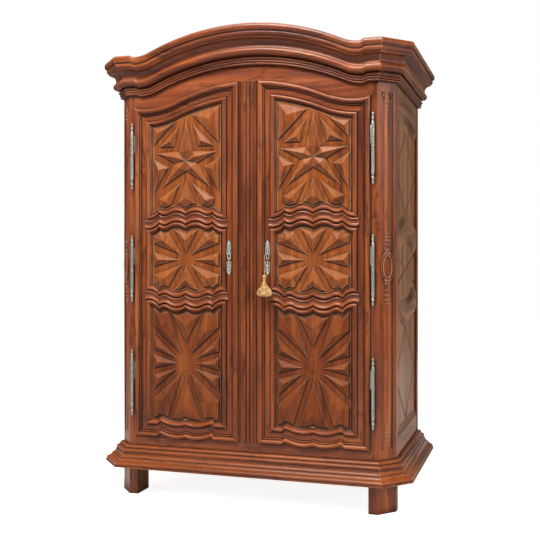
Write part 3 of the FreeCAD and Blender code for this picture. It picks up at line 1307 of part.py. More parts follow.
def make_inside():
    """Floor, shelves and the bearers under them."""
    half = SIDE_FACE - SIDE_RECESS - SIDE_RAIL_DEPTH - 1
    back = BACK_RAIL_FRONT - BACK_BOARD_THICKNESS - 1
    corners = [box(side * (FAR * 2 + LIP_EDGE) - FAR * 2, side * (FAR * 2 + LIP_EDGE) + FAR * 2,
                   -FAR, POST_DEPTH, 0, BODY_TOP) for side in (-1, 1)]
    corners += [box(side * (FAR * 2 + SIDE_FACE - BACK_POST_WIDTH) - FAR * 2,
                    side * (FAR * 2 + SIDE_FACE - BACK_POST_WIDTH) + FAR * 2,
                    BODY_DEPTH - BACK_POST_DEPTH, FAR * 3, 0, BODY_TOP) for side in (-1, 1)]
    nodes["floor_boards"] = group(boards_across(half, RAIL_DEPTH, back, FLOOR_TOP - BOARD_THICKNESS,
                                                FLOOR_TOP, corners))
    bearers = []
    levels = [FLOOR_TOP - BOARD_THICKNESS]
    for name, level in (("lower_shelf", SHELF_LOWER), ("upper_shelf", SHELF_UPPER)):
        nodes[name] = group(boards_across(half, SHELF_FRONT, back, level, level + SHELF_THICKNESS, corners))
        levels.append(level)
    for level in levels:
        bearer = box(half + 1 - BEARER, half + 1, POST_DEPTH, BODY_DEPTH - BACK_POST_DEPTH,
                     level - BEARER, level)
        bearers += [bearer, mirrored(bearer)]
    nodes["shelf_bearers"] = group(bearers)


def make_roof():
    roof = body_plan(BODY_TOP, BODY_TOP + BOARD_THICKNESS, RAIL_DEPTH)
    width = (BODY_DEPTH - RAIL_DEPTH) / BOARD_COUNT
    boards = []
    for i in range(BOARD_COUNT):
        y0 = RAIL_DEPTH + i * width
        slab = box(-FAR * 3, FAR * 3, y0, y0 + width - BOARD_JOINT, BODY_TOP - 1, BODY_TOP + FAR)
        boards.append(roof.common(slab))
    return group(boards)


def carcass_peg_places():
    x = (POST_EDGE + FRONT_HALF_WIDTH) / 2 - 5
    return [(x, CORNICE_BOTTOM - 18), (x, CORNICE_BOTTOM - 52), (x, BOTTOM_RAIL_TOP - 28)]


def make_carcass(post_slots, keeper_room):
    rails, panels, tongues = make_side()
    side_tenon_pairs = side_tenons()
    frieze_tenon, bottom_tenon = front_tenons()
    pegs = [rod(V(x, -PEG_PROUD, z), V(0, 1, 0), PEG_RADIUS, LIP_FRONT) for x, z in carcass_peg_places()]
    back_rails = back_rail_boxes()
    back_tenons = [tenon_box for _, tenon_box in back_rails]

    tenons = sum(side_tenon_pairs, [])
    front = without(front_post(post_slots, tongues), tenons + [frieze_tenon, bottom_tenon] + pegs)
    back = without(back_post(tongues), tenons + back_tenons)
    side_rails = [fused([rail] + ends) for rail, ends in zip(rails.Solids, side_tenon_pairs)]

    pair("front_post", front)
    pair("back_post", back)
    pair("side_rails", group(side_rails))
    for name, panel in panels.items():
        pair("side_" + name + "_panel", panel)

    stile_top = DOOR_TOP + DOOR_RISE + DOOR_GAP
    centre = box(-CENTRE_STILE_HALF, CENTRE_STILE_HALF, 0, RAIL_DEPTH, BOTTOM_RAIL_TOP, stile_top + 20)
    reeds = [reed(x, BOTTOM_RAIL_TOP + 3, stile_top - 4) for x in (-REED_WIDTH - 3, 0, REED_WIDTH + 3)]
    frieze = make_frieze()
    centre = without(fused([centre] + reeds), [frieze, keeper_room, mirrored(keeper_room)])
    bottom = fused([box(-POST_EDGE, POST_EDGE, 0, LIP_FRONT, FOOT_HEIGHT, BOTTOM_RAIL_TOP),
                    box(-LIP_EDGE, LIP_EDGE, LIP_FRONT, RAIL_DEPTH, FOOT_HEIGHT,
                        BOTTOM_RAIL_TOP + STOP_LIP)])
    bottom = without(bottom, [box(-CENTRE_STILE_HALF, CENTRE_STILE_HALF, -1, RAIL_DEPTH + 1,
                                  BOTTOM_RAIL_TOP, DOOR_BOTTOM + FAR)])
    nodes["centre_stile"] = centre
    nodes["front_frieze_rail"] = fused([frieze, frieze_tenon, mirrored(frieze_tenon)])
    nodes["front_bottom_rail"] = fused([bottom, bottom_tenon, mirrored(bottom_tenon)])
    for name in ("front_frieze_rail", "front_bottom_rail"):
        nodes[name] = without(nodes[name], pegs + [mirrored(peg) for peg in pegs])
    nodes["carcass_pegs"] = group(pegs + [mirrored(peg) for peg in pegs])
    nodes["back_rails"] = group([fused(list(parts)) for parts in back_rails])
    nodes["back_boards"] = make_back_boards()
    nodes["roof_boards"] = make_roof()
    make_inside()

    base = stretched(BASE_SECTION, BASE_PROJECTION, BASE_HEIGHT)
    cornice = stretched(CORNICE_SECTION, CORNICE_PROJECTION, CORNICE_HEIGHT)
    nodes["base_front"] = make_front_run(base, BASE_PROJECTION, LEVEL, FOOT_HEIGHT, BASE_HEIGHT)
    nodes["cornice_front"] = make_front_run(cornice, CORNICE_PROJECTION, CORNICE_WAVE, CORNICE_BOTTOM,
                                            CORNICE_HEIGHT)
    for name, section, projection, level, height in (
            ("base_returns", base, BASE_PROJECTION, FOOT_HEIGHT, BASE_HEIGHT),
            ("cornice_returns", cornice, CORNICE_PROJECTION, CORNICE_BOTTOM, CORNICE_HEIGHT)):
        runs = make_returns(section, projection, level, height)
        nodes[name] = group(runs + [mirrored(run) for run in runs])


def pair(name, right):
    """Two nodes: the right-hand piece and its mirror image."""
    nodes["right_" + name] = right
    nodes["left_" + name] = mirrored(right)


# ---------------------------------------------------------------- the whole cabinet
lower_knuckles, upper_knuckles, post_slots = make_hinges()
keeper, keeper_room = make_keeper()
lock_case, lock_bolt = make_lock()
make_carcass(post_slots, keeper_room)
pair("hinge_lower_knuckles", lower_knuckles)
nodes["lock_keepers"] = group([keeper, mirrored(keeper)])
for piece, shape in make_door().items():
    pair("door_" + piece, shape)
pair("door_hinge_knuckles", upper_knuckles)
pair("escutcheon", make_escutcheon())
pair("lock_case", lock_case)
pair("lock_bolt", lock_bolt)
nodes["key"] = make_key()
nodes["tassel_cord"] = make_cord()
nodes["tassel"] = make_tassel()

os.makedirs("parts", exist_ok=True)
for name, shape in nodes.items():
    placed = shape.copy()
    placed.translate(TO_ORIGIN)
    placed.exportStep(os.path.join("parts", name + ".step"))
    if not shape.isValid():
        print("invalid:", name)
print(len(nodes), "nodes, solids:", sum(len(shape.Solids) for shape in nodes.values()))
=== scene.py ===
import math

import bmesh
import bpy
from mathutils import Matrix, Vector


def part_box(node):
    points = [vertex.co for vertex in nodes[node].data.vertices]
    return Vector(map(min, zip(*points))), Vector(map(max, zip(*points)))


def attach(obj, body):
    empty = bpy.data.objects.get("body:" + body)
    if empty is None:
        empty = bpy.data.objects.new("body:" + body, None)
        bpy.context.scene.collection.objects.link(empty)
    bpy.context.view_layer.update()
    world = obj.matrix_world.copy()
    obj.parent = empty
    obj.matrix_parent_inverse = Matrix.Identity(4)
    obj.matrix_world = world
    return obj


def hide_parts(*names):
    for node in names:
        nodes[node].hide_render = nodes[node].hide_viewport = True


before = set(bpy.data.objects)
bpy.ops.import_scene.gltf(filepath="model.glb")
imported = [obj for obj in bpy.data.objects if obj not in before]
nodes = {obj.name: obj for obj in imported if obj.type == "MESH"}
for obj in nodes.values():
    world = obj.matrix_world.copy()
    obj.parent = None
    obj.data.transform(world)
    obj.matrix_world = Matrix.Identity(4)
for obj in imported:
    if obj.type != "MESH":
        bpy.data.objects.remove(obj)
for leftOver in ("Cube", "Light", "Camera"):
    if leftOver in bpy.data.objects:
        bpy.data.objects.remove(bpy.data.objects[leftOver])
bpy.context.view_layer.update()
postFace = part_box("right_front_post")[0].y             # the plane of the cabinet's front

# camera and light
camera = {"place": (1.4456, -4.1118, 1.255), "turn": 15.5723, "lens": 52.877, "shift": (-0.0983, -0.0255)}
lamps = {
    "key": {"place": (-0.6, -3.3, 5.4), "aim": (0, -0.3, 1.1), "size": 1.5, "power": 455},
    "left": {"place": (-4.4, -3.2, 2.4), "aim": (0, -0.3, 1.2), "size": 1.4, "power": 62},
    "right": {"place": (4.6, -2.2, 2.8), "aim": (0.5, 0, 1.2), "size": 1.5, "power": 132},
    "back": {"place": (-0.3, 5.2, 3.2), "aim": (0, 0, 1.2), "size": 1.8, "power": 110},
    "low": {"place": (-0.6, -5.6, 0.8), "aim": (0, 0, 0.8), "size": 1.6, "power": 12},
}
backdrop = {"ambient": 0.15, "floorColour": (0.9, 0.9, 0.9, 1), "floorGlow": 0.88, "floorSize": 24,
            "floorRoughness": 0.9}


def placeCamera():
    data = bpy.data.cameras.new("camera")
    data.lens = camera["lens"]
    data.shift_x, data.shift_y = camera["shift"]
    made = bpy.data.objects.new("camera", data)
    made.location = camera["place"]
    made.rotation_euler = (math.pi / 2, 0, math.radians(camera["turn"]))
    bpy.context.scene.collection.objects.link(made)
    bpy.context.scene.camera = made


def placeLamps():
    for name, lamp in lamps.items():
        data = bpy.data.lights.new(name, "AREA")
        data.size = lamp["size"]
        data.energy = lamp["power"]
        made = bpy.data.objects.new(name, data)
        made.location = lamp["place"]
        aim = Vector(lamp["aim"]) - Vector(lamp["place"])
        made.rotation_euler = aim.to_track_quat("-Z", "Y").to_euler()
        bpy.context.scene.collection.objects.link(made)


class Link:                                            # a socket, whose arithmetic adds Math nodes
    def __init__(self, tree, socket=None):
        self.tree = tree
        self.socket = socket

    def node(self, kind, settings, values, output=0):
        made = self.tree.nodes.new("ShaderNode" + kind)
        for name, setting in settings.items():
            if name == "stops":
                made.color_ramp.elements[0].position, made.color_ramp.elements[0].color = setting[0]
                made.color_ramp.elements[-1].position, made.color_ramp.elements[-1].color = setting[-1]
                for place, colour in setting[1:-1]:
                    made.color_ramp.elements.new(place).color = colour
            else:
                setattr(made, name, setting)
        for name, value in values.items():
            if isinstance(value, Link):
                self.tree.links.new(value.socket, made.inputs[name])
            else:
                made.inputs[name].default_value = value
        return Link(self.tree, made.outputs[output])

    def maths(self, operation, first, second):
        return self.node("Math", {"operation": operation}, {0: first, 1: second})

    def __add__(self, other):
        return self.maths("ADD", self, other)

    def __radd__(self, other):
        return self.maths("ADD", other, self)

    def __sub__(self, other):
        return self.maths("SUBTRACT", self, other)

    def __rsub__(self, other):
        return self.maths("SUBTRACT", other, self)

    def __mul__(self, other):
        return self.maths("MULTIPLY", self, other)

    def __rmul__(self, other):
        return self.maths("MULTIPLY", other, self)

    def between(self, low, high):                      # 0 below low, 1 above high
        return self.node("MapRange", {"interpolation_type": "SMOOTHSTEP"},
                         {"Value": self, "From Min": low, "From Max": high})

    def mix(self, under, over):                        # two colours, with this value as the factor
        return self.node("Mix", {"data_type": "RGBA"}, {0: self, 6: under, 7: over}, 2)

    def noise(self, scale, detail, roughness, output=0):
        return self.node("TexNoise", {}, {"Vector": self, "Scale": scale, "Detail": detail,
                                          "Roughness": roughness}, output)

    def scaled(self, scale):
        return self.node("Mapping", {}, {"Vector": self, "Scale": scale})

    def hidden(self, reach, samples, inside=False):    # near 1 deep in a crease, or with inside on a sharp edge
        return 1 - self.node("AmbientOcclusion", {"samples": samples, "inside": inside}, {"Distance": reach}, 1)

    def into(self, target):
        self.tree.links.new(self.socket, target)


def colour(red, green, blue):
    return (red, green, blue, 1)


def newMaterial(name):
    made = bpy.data.materials.new(name)
    made.use_nodes = True
    return made, Link(made.node_tree), made.node_tree.nodes["Principled BSDF"].inputs


def setBackdrop():
    world = bpy.data.worlds.new("studio")
    world.use_nodes = True
    bpy.context.scene.world = world
    start = Link(world.node_tree)
    seen = start.node("LightPath", {}, {}, "Is Camera Ray")
    strength = seen * (1 - backdrop["ambient"]) + backdrop["ambient"]
    strength.into(world.node_tree.nodes["Background"].inputs["Strength"])
    world.node_tree.nodes["Background"].inputs["Color"].default_value = colour(1, 1, 1)
    made, start, inputs = newMaterial("paleFloor")
    inputs["Base Color"].default_value = backdrop["floorColour"]
    inputs["Roughness"].default_value = backdrop["floorRoughness"]
    inputs["Specular IOR Level"].default_value = 0.0
    glow = start.node("LightPath", {}, {}, "Is Camera Ray") * backdrop["floorGlow"]
    inputs["Emission Strength"].default_value = 1.0
    glow.mix(colour(0, 0, 0), colour(1, 1, 1)).into(inputs["Emission Color"])
    mesh = bpy.data.meshes.new("floor")
    work = bmesh.new()
    bmesh.ops.create_grid(work, x_segments=1, y_segments=1, size=backdrop["floorSize"] / 2)
    work.to_mesh(mesh)
    work.free()
    mesh.materials.append(made)
    floor = bpy.data.objects.new("floor", mesh)
    bpy.context.scene.collection.objects.link(floor)


bpy.context.scene.view_settings.view_transform = "Standard"
placeCamera()
placeLamps()
setBackdrop()
print("camera, lamps and backdrop")

# walnut and plain wood: reaches are in metres, and creases, hollows and edges are the spans of occlusion over
# which grime with painted shade, painted shade and rubbed wax with a painted highlight set in; faces that look up
# get painted light and faces that look downward painted shade
woods = {
    "front": {"deep": colour(0.034, 0.0060, 0.0015), "middle": colour(0.160, 0.0310, 0.0050),
              "pale": colour(0.33, 0.086, 0.016), "waxAndHighlight": colour(0.62, 0.33, 0.20), "wearAndHighlight": 0.5,
              "grimeAndShade": colour(0.004, 0.0012, 0.0006), "grimeAndShadeReach": 0.008, "shadeReach": 0.026, "shade": 0.70,
              "creases": (0.10, 0.52), "hollows": (0.05, 0.55), "edges": (0.28, 0.85), "up": 0.30, "down": 0.42,
              "grey": 0.08, "weathered": 0.85, "roughness": 0.37, "gloss": 0.25, "veins": 0.8},
    "side": {"deep": colour(0.034, 0.0060, 0.0015), "middle": colour(0.160, 0.0310, 0.0050),
             "pale": colour(0.33, 0.086, 0.016), "waxAndHighlight": colour(0.55, 0.32, 0.20), "wearAndHighlight": 0.5,
             "grimeAndShade": colour(0.006, 0.0022, 0.0012), "grimeAndShadeReach": 0.006, "shadeReach": 0.014, "shade": 0.40,
             "creases": (0.10, 0.42), "hollows": (0.15, 0.90), "edges": (0.10, 0.6), "up": 0.20, "down": 0.45,
             "grey": 0.08, "weathered": 1, "roughness": 0.42, "gloss": 0.20, "veins": 0.5},
    "carved": {"deep": colour(0.040, 0.0076, 0.0017), "middle": colour(0.190, 0.045, 0.0070),
               "pale": colour(0.370, 0.112, 0.019), "waxAndHighlight": colour(0.70, 0.42, 0.26), "wearAndHighlight": 0.6,
               "grimeAndShade": colour(0.004, 0.0012, 0.0006), "grimeAndShadeReach": 0.009, "shadeReach": 0.024, "shade": 0.78,
               "creases": (0.03, 0.27), "hollows": (0.02, 0.34), "edges": (0.06, 0.42), "up": 0.36, "down": 0.74,
               "grey": 0.04, "weathered": 0, "roughness": 0.46, "gloss": 0.14, "veins": 0.6},
    "lower": {"deep": colour(0.026, 0.0046, 0.0011), "middle": colour(0.135, 0.0275, 0.0043),
              "pale": colour(0.250, 0.068, 0.0115), "waxAndHighlight": colour(0.50, 0.28, 0.17), "wearAndHighlight": 0.5,
              "grimeAndShade": colour(0.003, 0.001, 0.0005), "grimeAndShadeReach": 0.009, "shadeReach": 0.024, "shade": 0.78,
              "creases": (0.03, 0.27), "hollows": (0.02, 0.34), "edges": (0.06, 0.42), "up": 0.40, "down": 0.70,
              "grey": 0.04, "weathered": 0, "roughness": 0.46, "gloss": 0.14, "veins": 0.6},
    "plug": {"deep": colour(0.012, 0.003, 0.0015), "middle": colour(0.040, 0.010, 0.004),
             "pale": colour(0.08, 0.022, 0.008), "waxAndHighlight": colour(0.3, 0.17, 0.11), "wearAndHighlight": 0.2,
             "grimeAndShade": colour(0.004, 0.0012, 0.0006), "grimeAndShadeReach": 0.006, "shadeReach": 0.01, "shade": 0.5,
             "creases": (0.30, 0.85), "hollows": (0.04, 0.62), "edges": (0.30, 0.85), "up": 0, "down": 0,
             "grey": 0.1, "weathered": 0, "roughness": 0.5, "gloss": 0.2, "veins": 0},
    "plain": {"deep": colour(0.085, 0.040, 0.018), "middle": colour(0.22, 0.125, 0.058),
              "pale": colour(0.34, 0.215, 0.110), "waxAndHighlight": colour(0.45, 0.34, 0.22), "wearAndHighlight": 0.15,
              "grimeAndShade": colour(0.03, 0.017, 0.009), "grimeAndShadeReach": 0.02, "shadeReach": 0.05, "shade": 0.4,
              "creases": (0.30, 0.85), "hollows": (0.04, 0.62), "edges": (0.30, 0.85), "up": 0.1, "down": 0,
              "grey": 0.25, "weathered": 0, "roughness": 0.72, "gloss": 0.2, "veins": 0.3},
}
weather = {"deep": colour(0.065, 0.028, 0.014), "pale": colour(0.375, 0.165, 0.072), "aside": (0.74, 0.96),
           "tones": (0.38, 0.78)}
grains = {                                             # scale across the grain and along it, detail, roughness
    "figure": (16, 0.9, 3, 0.55), "bands": (75, 2.2, 4, 0.6), "fibre": (380, 7, 3, 0.6),
    "pores": (850, 26, 2, 0.5), "veins": (9, 2.2, 5, 0.62),
}
patches = {                                            # scale, detail and roughness of what has no direction
    "sway": (1.7, 2, 0.5), "veined": (3.1, 2, 0.5), "dull": (2.6, 4, 0.6), "rubbedAndHighlit": (38, 3, 0.6),
    "dents": (22, 2, 0.5),
}
surface = {                                            # a span is where a mask goes from 0 to 1
    "sway": (0.05, 0.05, 0.05), "tones": (0.38, 0.60, 0.80), "figureTone": 0.55, "bandTone": 0.38,
    "fibreTone": 0.25, "poreTone": 0.45, "poreSpan": (0.60, 0.72), "veinSpan": (0.0, 0.028),
    "veinedSpan": (0.42, 0.60), "dullSpan": (0.52, 0.72), "dullColour": colour(0.13, 0.085, 0.06),
    "topLightSpan": (0.06, 0.48), "downSpan": (-0.55, -0.06), "edgeReach": 0.004, "rubbedAndHighlitPatch": 0.8, "rubbedAndHighlitAll": 0.35,
    "bandRough": 0.16, "dullRough": 0.12, "roughDrop": 0.1, "coat": 0.16, "coatRough": 0.28, "bandHeight": 0.35,
    "fibreHeight": 0.35, "poreHeight": 0.5, "dentHeight": 1.4, "bump": 0.55, "bumpDepth": 0.0009, "ease": 0.0012,
}


def makeWood(name, along, look):
    made, start, inputs = newMaterial(name)
    place = start.node("TexCoord", {}, {}, "Object")
    sway = place.noise(*patches["sway"], 1)
    bent = start.node("VectorMath", {"operation": "MULTIPLY_ADD"}, {0: sway, 1: surface["sway"], 2: place})

    def grain(layer):
        across, lengthwise, detail, roughness = grains[layer]
        scale = [lengthwise if axis == along else across for axis in "xyz"]
        return bent.scaled(scale).noise(1.0, detail, roughness)

    figure, bands, fibre = grain("figure"), grain("bands"), grain("fibre")
    pores = grain("pores").between(*surface["poreSpan"])
    tone = figure * surface["figureTone"] + bands * surface["bandTone"] + fibre * surface["fibreTone"]
    stops = list(zip(surface["tones"], (look["deep"], look["middle"], look["pale"])))
    wood = start.node("ValToRGB", {"stops": stops}, {0: tone})
    wood = (pores * surface["poreTone"]).mix(wood, look["deep"])
    veins = 1 - start.maths("ABSOLUTE", grain("veins") - 0.5, 0.0).between(*surface["veinSpan"])
    veined = place.noise(*patches["veined"]).between(*surface["veinedSpan"])
    wood = (veins * veined * look["veins"]).mix(wood, look["deep"])
    dull = place.noise(*patches["dull"]).between(*surface["dullSpan"])
    wood = (dull * look["grey"]).mix(wood, surface["dullColour"])
    facing = start.node("TexCoord", {}, {}, "Normal")
    if look["weathered"]:                              # the sides have lost their red
        turnedAside = start.node("SeparateXYZ", {}, {0: facing}, "X")
        aside = start.maths("ABSOLUTE", turnedAside, 0.0).between(*weather["aside"])
        faded = tone.between(*weather["tones"]).mix(weather["deep"], weather["pale"])
        wood = (aside * look["weathered"]).mix(wood, faded)
    shaded = start.hidden(look["shadeReach"], 5).between(*look["hollows"])
    wood = (shaded * look["shade"]).mix(wood, look["deep"])
    upward = start.node("SeparateXYZ", {}, {0: facing}, "Z")
    # painted light and shade: faces that look up are made paler and faces that look downward darker, as light from
    # above makes them
    wood = (upward.between(*surface["topLightSpan"]) * look["up"]).mix(wood, look["pale"])
    wood = ((1 - upward.between(*surface["downSpan"])) * look["down"]).mix(wood, look["deep"])
    # painted highlight: convex edges and crests take a pale wax colour, partly worn and partly the sheen of light
    # on them
    edges = start.hidden(surface["edgeReach"], 6, True).between(*look["edges"])
    rubbedAndHighlit = edges * (place.noise(*patches["rubbedAndHighlit"]) * surface["rubbedAndHighlitPatch"] + surface["rubbedAndHighlitAll"])
    wood = (rubbedAndHighlit * look["wearAndHighlight"]).mix(wood, look["waxAndHighlight"])
    # painted shade: creases go near-black, partly grime and partly the shade that falls in them
    wood = start.hidden(look["grimeAndShadeReach"], 5).between(*look["creases"]).mix(wood, look["grimeAndShade"])
    wood.into(inputs["Base Color"])
    rough = bands * surface["bandRough"] + dull * surface["dullRough"] + (look["roughness"] - surface["roughDrop"])
    rough.into(inputs["Roughness"])
    inputs["Specular IOR Level"].default_value = look["gloss"]
    inputs["Coat Weight"].default_value = look["gloss"] * surface["coat"]
    inputs["Coat Roughness"].default_value = surface["coatRough"]
    height = (bands * surface["bandHeight"] + fibre * surface["fibreHeight"] - pores * surface["poreHeight"]
              + place.noise(*patches["dents"]) * surface["dentHeight"])
    eased = start.node("Bevel", {"samples": 4}, {"Radius": surface["ease"]})
    bump = start.node("Bump", {}, {"Strength": surface["bump"], "Distance": surface["bumpDepth"],
                                   "Height": height, "Normal": eased})
    bump.into(inputs["Normal"])
    return made


grainOf = {                                            # node name without its side, wood, direction
    "front_post": ("front", "z"), "back_post": ("front", "z"), "side_rails": ("side", "y"),
    "side_top_panel": ("side", "z"), "side_middle_panel": ("side", "z"), "side_bottom_panel": ("side", "z"),
    "door_hinge_stile": ("front", "z"), "door_lock_stile": ("front", "z"), "door_top_rail": ("front", "x"),
    "door_cross_rails": ("front", "x"), "door_bottom_rail": ("front", "x"), "door_top_panel": ("carved", "z"),
    "door_middle_panel": ("carved", "z"), "door_bottom_panel": ("lower", "z"), "door_pegs": ("plug", "y"),
    "centre_stile": ("front", "z"), "front_frieze_rail": ("front", "x"), "front_bottom_rail": ("front", "x"),
    "base_front": ("front", "x"), "base_returns": ("front", "y"), "cornice_front": ("front", "x"),
    "cornice_returns": ("front", "y"), "carcass_pegs": ("plug", "y"), "back_rails": ("plain", "x"),
    "back_boards": ("plain", "z"), "floor_boards": ("plain", "x"), "roof_boards": ("plain", "x"),
    "lower_shelf": ("plain", "x"), "upper_shelf": ("plain", "x"), "shelf_bearers": ("plain", "y"),
}
woodFor = {}
for woodName, direction in sorted(set(grainOf.values())):
    woodFor[woodName, direction] = makeWood(woodName + "Grain" + direction.upper(), direction, woods[woodName])

# worn steel and iron
metals = {
    "steel": {"bright": colour(0.29, 0.29, 0.245), "dark": colour(0.03, 0.027, 0.022), "roughness": 0.36,
              "stain": 0.7, "metallic": 0.7},
    "iron": {"bright": colour(0.26, 0.245, 0.22), "dark": colour(0.035, 0.03, 0.026), "roughness": 0.42,
             "stain": 0.6, "metallic": 0.8},
    "rubbedSteel": {"bright": colour(0.52, 0.52, 0.47), "dark": colour(0.02, 0.018, 0.015), "roughness": 0.38,
                    "stain": 0.5, "metallic": 0.5},
}
metalWear = {"stains": (90, 5, 0.65), "stainSpan": (0.42, 0.72), "reach": 0.004, "hollows": (0.25, 0.9),
             "dulled": 0.45, "roughened": 0.3, "pits": (420, 4, 0.6), "pitHeight": 0.6, "dents": (60, 2, 0.5),
             "bump": 0.5, "bumpDepth": 0.0004}


def makeMetal(name, look):
    made, start, inputs = newMaterial(name)
    place = start.node("TexCoord", {}, {}, "Object")
    stain = place.noise(*metalWear["stains"]).between(*metalWear["stainSpan"]) * look["stain"]
    dirt = start.maths("MAXIMUM", stain, start.hidden(metalWear["reach"], 6).between(*metalWear["hollows"]))
    dirt.mix(look["bright"], look["dark"]).into(inputs["Base Color"])
    (look["metallic"] - dirt * metalWear["dulled"]).into(inputs["Metallic"])
    (dirt * metalWear["roughened"] + look["roughness"]).into(inputs["Roughness"])
    height = place.noise(*metalWear["pits"]) * metalWear["pitHeight"] + place.noise(*metalWear["dents"])
    bump = start.node("Bump", {}, {"Strength": metalWear["bump"], "Distance": metalWear["bumpDepth"],
                                   "Height": height})
    bump.into(inputs["Normal"])
    return made


steel = makeMetal("wornSteel", metals["steel"])
iron = makeMetal("darkIron", metals["iron"])
rubbedSteel = makeMetal("rubbedSteel", metals["rubbedSteel"])
metalOf = {"hinge_lower_knuckles": steel, "door_hinge_knuckles": steel, "escutcheon": steel, "lock_case": iron,
           "lock_bolt": iron, "lock_keepers": iron, "key": iron}

# silk of the cord and the tassel
thread = {"deep": colour(0.17, 0.068, 0.014), "pale": colour(0.50, 0.285, 0.088), "shades": (55, 4, 0.6),
          "shadeSpan": (0.35, 0.65), "hollow": colour(0.16, 0.06, 0.012), "hollowReach": 0.006,
          "hollowSpan": (0.35, 1.0), "hollowShare": 0.75, "roughness": 0.55, "sheen": 0.25,
          "twist": (900, 2, 0.5), "bump": 0.6, "bumpDepth": 0.0006}


def makeSilk():
    made, start, inputs = newMaterial("goldSilk")
    place = start.node("TexCoord", {}, {}, "Object")
    shade = place.noise(*thread["shades"]).between(*thread["shadeSpan"]).mix(thread["deep"], thread["pale"])
    # painted shade: the silk is darker where it is shut in between its threads and forms
    hollow = start.hidden(thread["hollowReach"], 6).between(*thread["hollowSpan"]) * thread["hollowShare"]
    hollow.mix(shade, thread["hollow"]).into(inputs["Base Color"])
    inputs["Roughness"].default_value = thread["roughness"]
    inputs["Sheen Weight"].default_value = thread["sheen"]
    bump = start.node("Bump", {}, {"Strength": thread["bump"], "Distance": thread["bumpDepth"],
                                   "Height": place.noise(*thread["twist"])})
    bump.into(inputs["Normal"])
    return made


silk = makeSilk()


def dress(piece, material):
    piece.data.materials.clear()
    piece.data.materials.append(material)


for nodeName, node in nodes.items():
    plainName = nodeName.removeprefix("left_").removeprefix("right_")
    if plainName in grainOf:
        dress(node, woodFor[grainOf[plainName]])
    elif plainName in metalOf:
        dress(node, metalOf[plainName])
    else:
        dress(node, silk)
print("materials on", len(nodes), "pieces")


def turnOut(work):                                     # on tiny forms the operator alone may guess wrong
    bmesh.ops.recalc_face_normals(work, faces=work.faces)
    work.normal_update()
    waiting = set(work.faces)
    while waiting:
        form = {waiting.pop()}
        rim = list(form)
        while rim:
            near = {other for edge in rim.pop().edges for other in edge.link_faces} - form
            form |= near
            rim += near
        waiting -= form
        if sum(face.calc_center_median() @ face.normal * face.calc_area() for face in form) < 0:
            bmesh.ops.reverse_faces(work, faces=list(form))


def finishPiece(name, work, material, body, smooth=True):
    mesh = bpy.data.meshes.new(name)
    turnOut(work)
    for face in work.faces:
        face.smooth = smooth
    work.to_mesh(mesh)
    work.free()
    made = bpy.data.objects.new(name, mesh)
    bpy.context.scene.collection.objects.link(made)
    dress(made, material)
    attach(made, body)
    return made


def turned(work, profile, axis, steps):                # profile is radius and height, spun about axis
    before = set(work.verts)
    verts = [work.verts.new(axis + Vector((radius, 0, height))) for radius, height in profile]
    edges = [work.edges.new(pair) for pair in zip(verts, verts[1:])]
    bmesh.ops.spin(work, geom=verts + edges, cent=axis, axis=(0, 0, 1), angle=2 * math.pi, steps=steps,
                   use_merge=True)
    made = [vert for vert in work.verts if vert not in before]
    bmesh.ops.remove_doubles(work, verts=made, dist=1e-6)


def block(work, low, high, ease=0.0):
    made = bmesh.ops.create_cube(work, size=1.0)["verts"]
    for vert in made:
        vert.co = Vector([low[axis] if vert.co[axis] < 0 else high[axis] for axis in range(3)])
    if ease:
        edges = list({edge for vert in made for edge in vert.link_edges})
        bmesh.ops.bevel(work, geom=edges, offset=ease, segments=2, affect="EDGES", profile=0.5, material=-1)


def hoop(work, place, halfWide, halfHigh, wire, sweep=2 * math.pi, steps=40, flat=1.0):
    before = set(work.verts)
    section = bmesh.ops.create_circle(work, segments=10, radius=wire)["verts"]
    for vert in section:
        vert.co = Vector((1 + vert.co.x, 0, vert.co.y * flat))
    edges = list({edge for vert in section for edge in vert.link_edges})
    whole = sweep == 2 * math.pi
    bmesh.ops.spin(work, geom=section + edges, cent=(0, 0, 0), axis=(0, 0, 1), angle=sweep, steps=steps,
                   use_merge=whole)
    made = [vert for vert in work.verts if vert not in before]
    if not whole:
        rim = [edge for vert in made for edge in vert.link_edges if edge.is_boundary]
        bmesh.ops.holes_fill(work, edges=list(set(rim)))
    for vert in made:
        angle = math.atan2(vert.co.y, vert.co.x)
        proud = math.hypot(vert.co.x, vert.co.y) - 1
        vert.co = place @ Vector(((halfWide + proud) * math.cos(angle), (halfHigh + proud) * math.sin(angle),
                                  vert.co.z))


# hinges: a barrel on the door's leaf turns over one on the post's leaf, round a pin
hinge = {"half": 0.176, "middle": 1.189, "finial": 0.0425, "gap": 0.0003, "radius": 0.0080, "lip": 0.0007,
         "lipHeight": 0.001, "steps": 40, "loops": 5, "loopsFrom": 0.01, "loopsShort": 0.036, "ribs": 10,
         "ribDepth": 0.055, "ribsFrom": 0.008, "ribsShort": 0.02, "shoulder": 0.0107, "leafThick": 0.0025,
         "leafHeight": 0.09, "leafReach": 0.036, "leafBack": 0.0085, "leafGap": 0.002, "leafEase": 0.0006}
finial = [                                             # radius, and height over the barrel's end
    (0.0080, -0.022), (0.0088, -0.019), (0.0088, -0.0165), (0.0080, -0.014), (0.0074, -0.006), (0.0058, -0.001),
    (0.0038, 0.001), (0.0036, 0.003), (0.0054, 0.0055), (0.0073, 0.009), (0.0079, 0.0125), (0.0070, 0.0165),
    (0.0048, 0.0205), (0.0031, 0.0235), (0.0031, 0.0252), (0.0046, 0.0275), (0.0057, 0.031), (0.0057, 0.0345),
    (0.0045, 0.0385), (0.0024, 0.0415), (0.0, 0.0425)]
hingeLow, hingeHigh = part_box("right_hinge_lower_knuckles")
hingeX = hingeHigh.x - hinge["shoulder"]
hingeY = hingeLow.y + hinge["shoulder"]
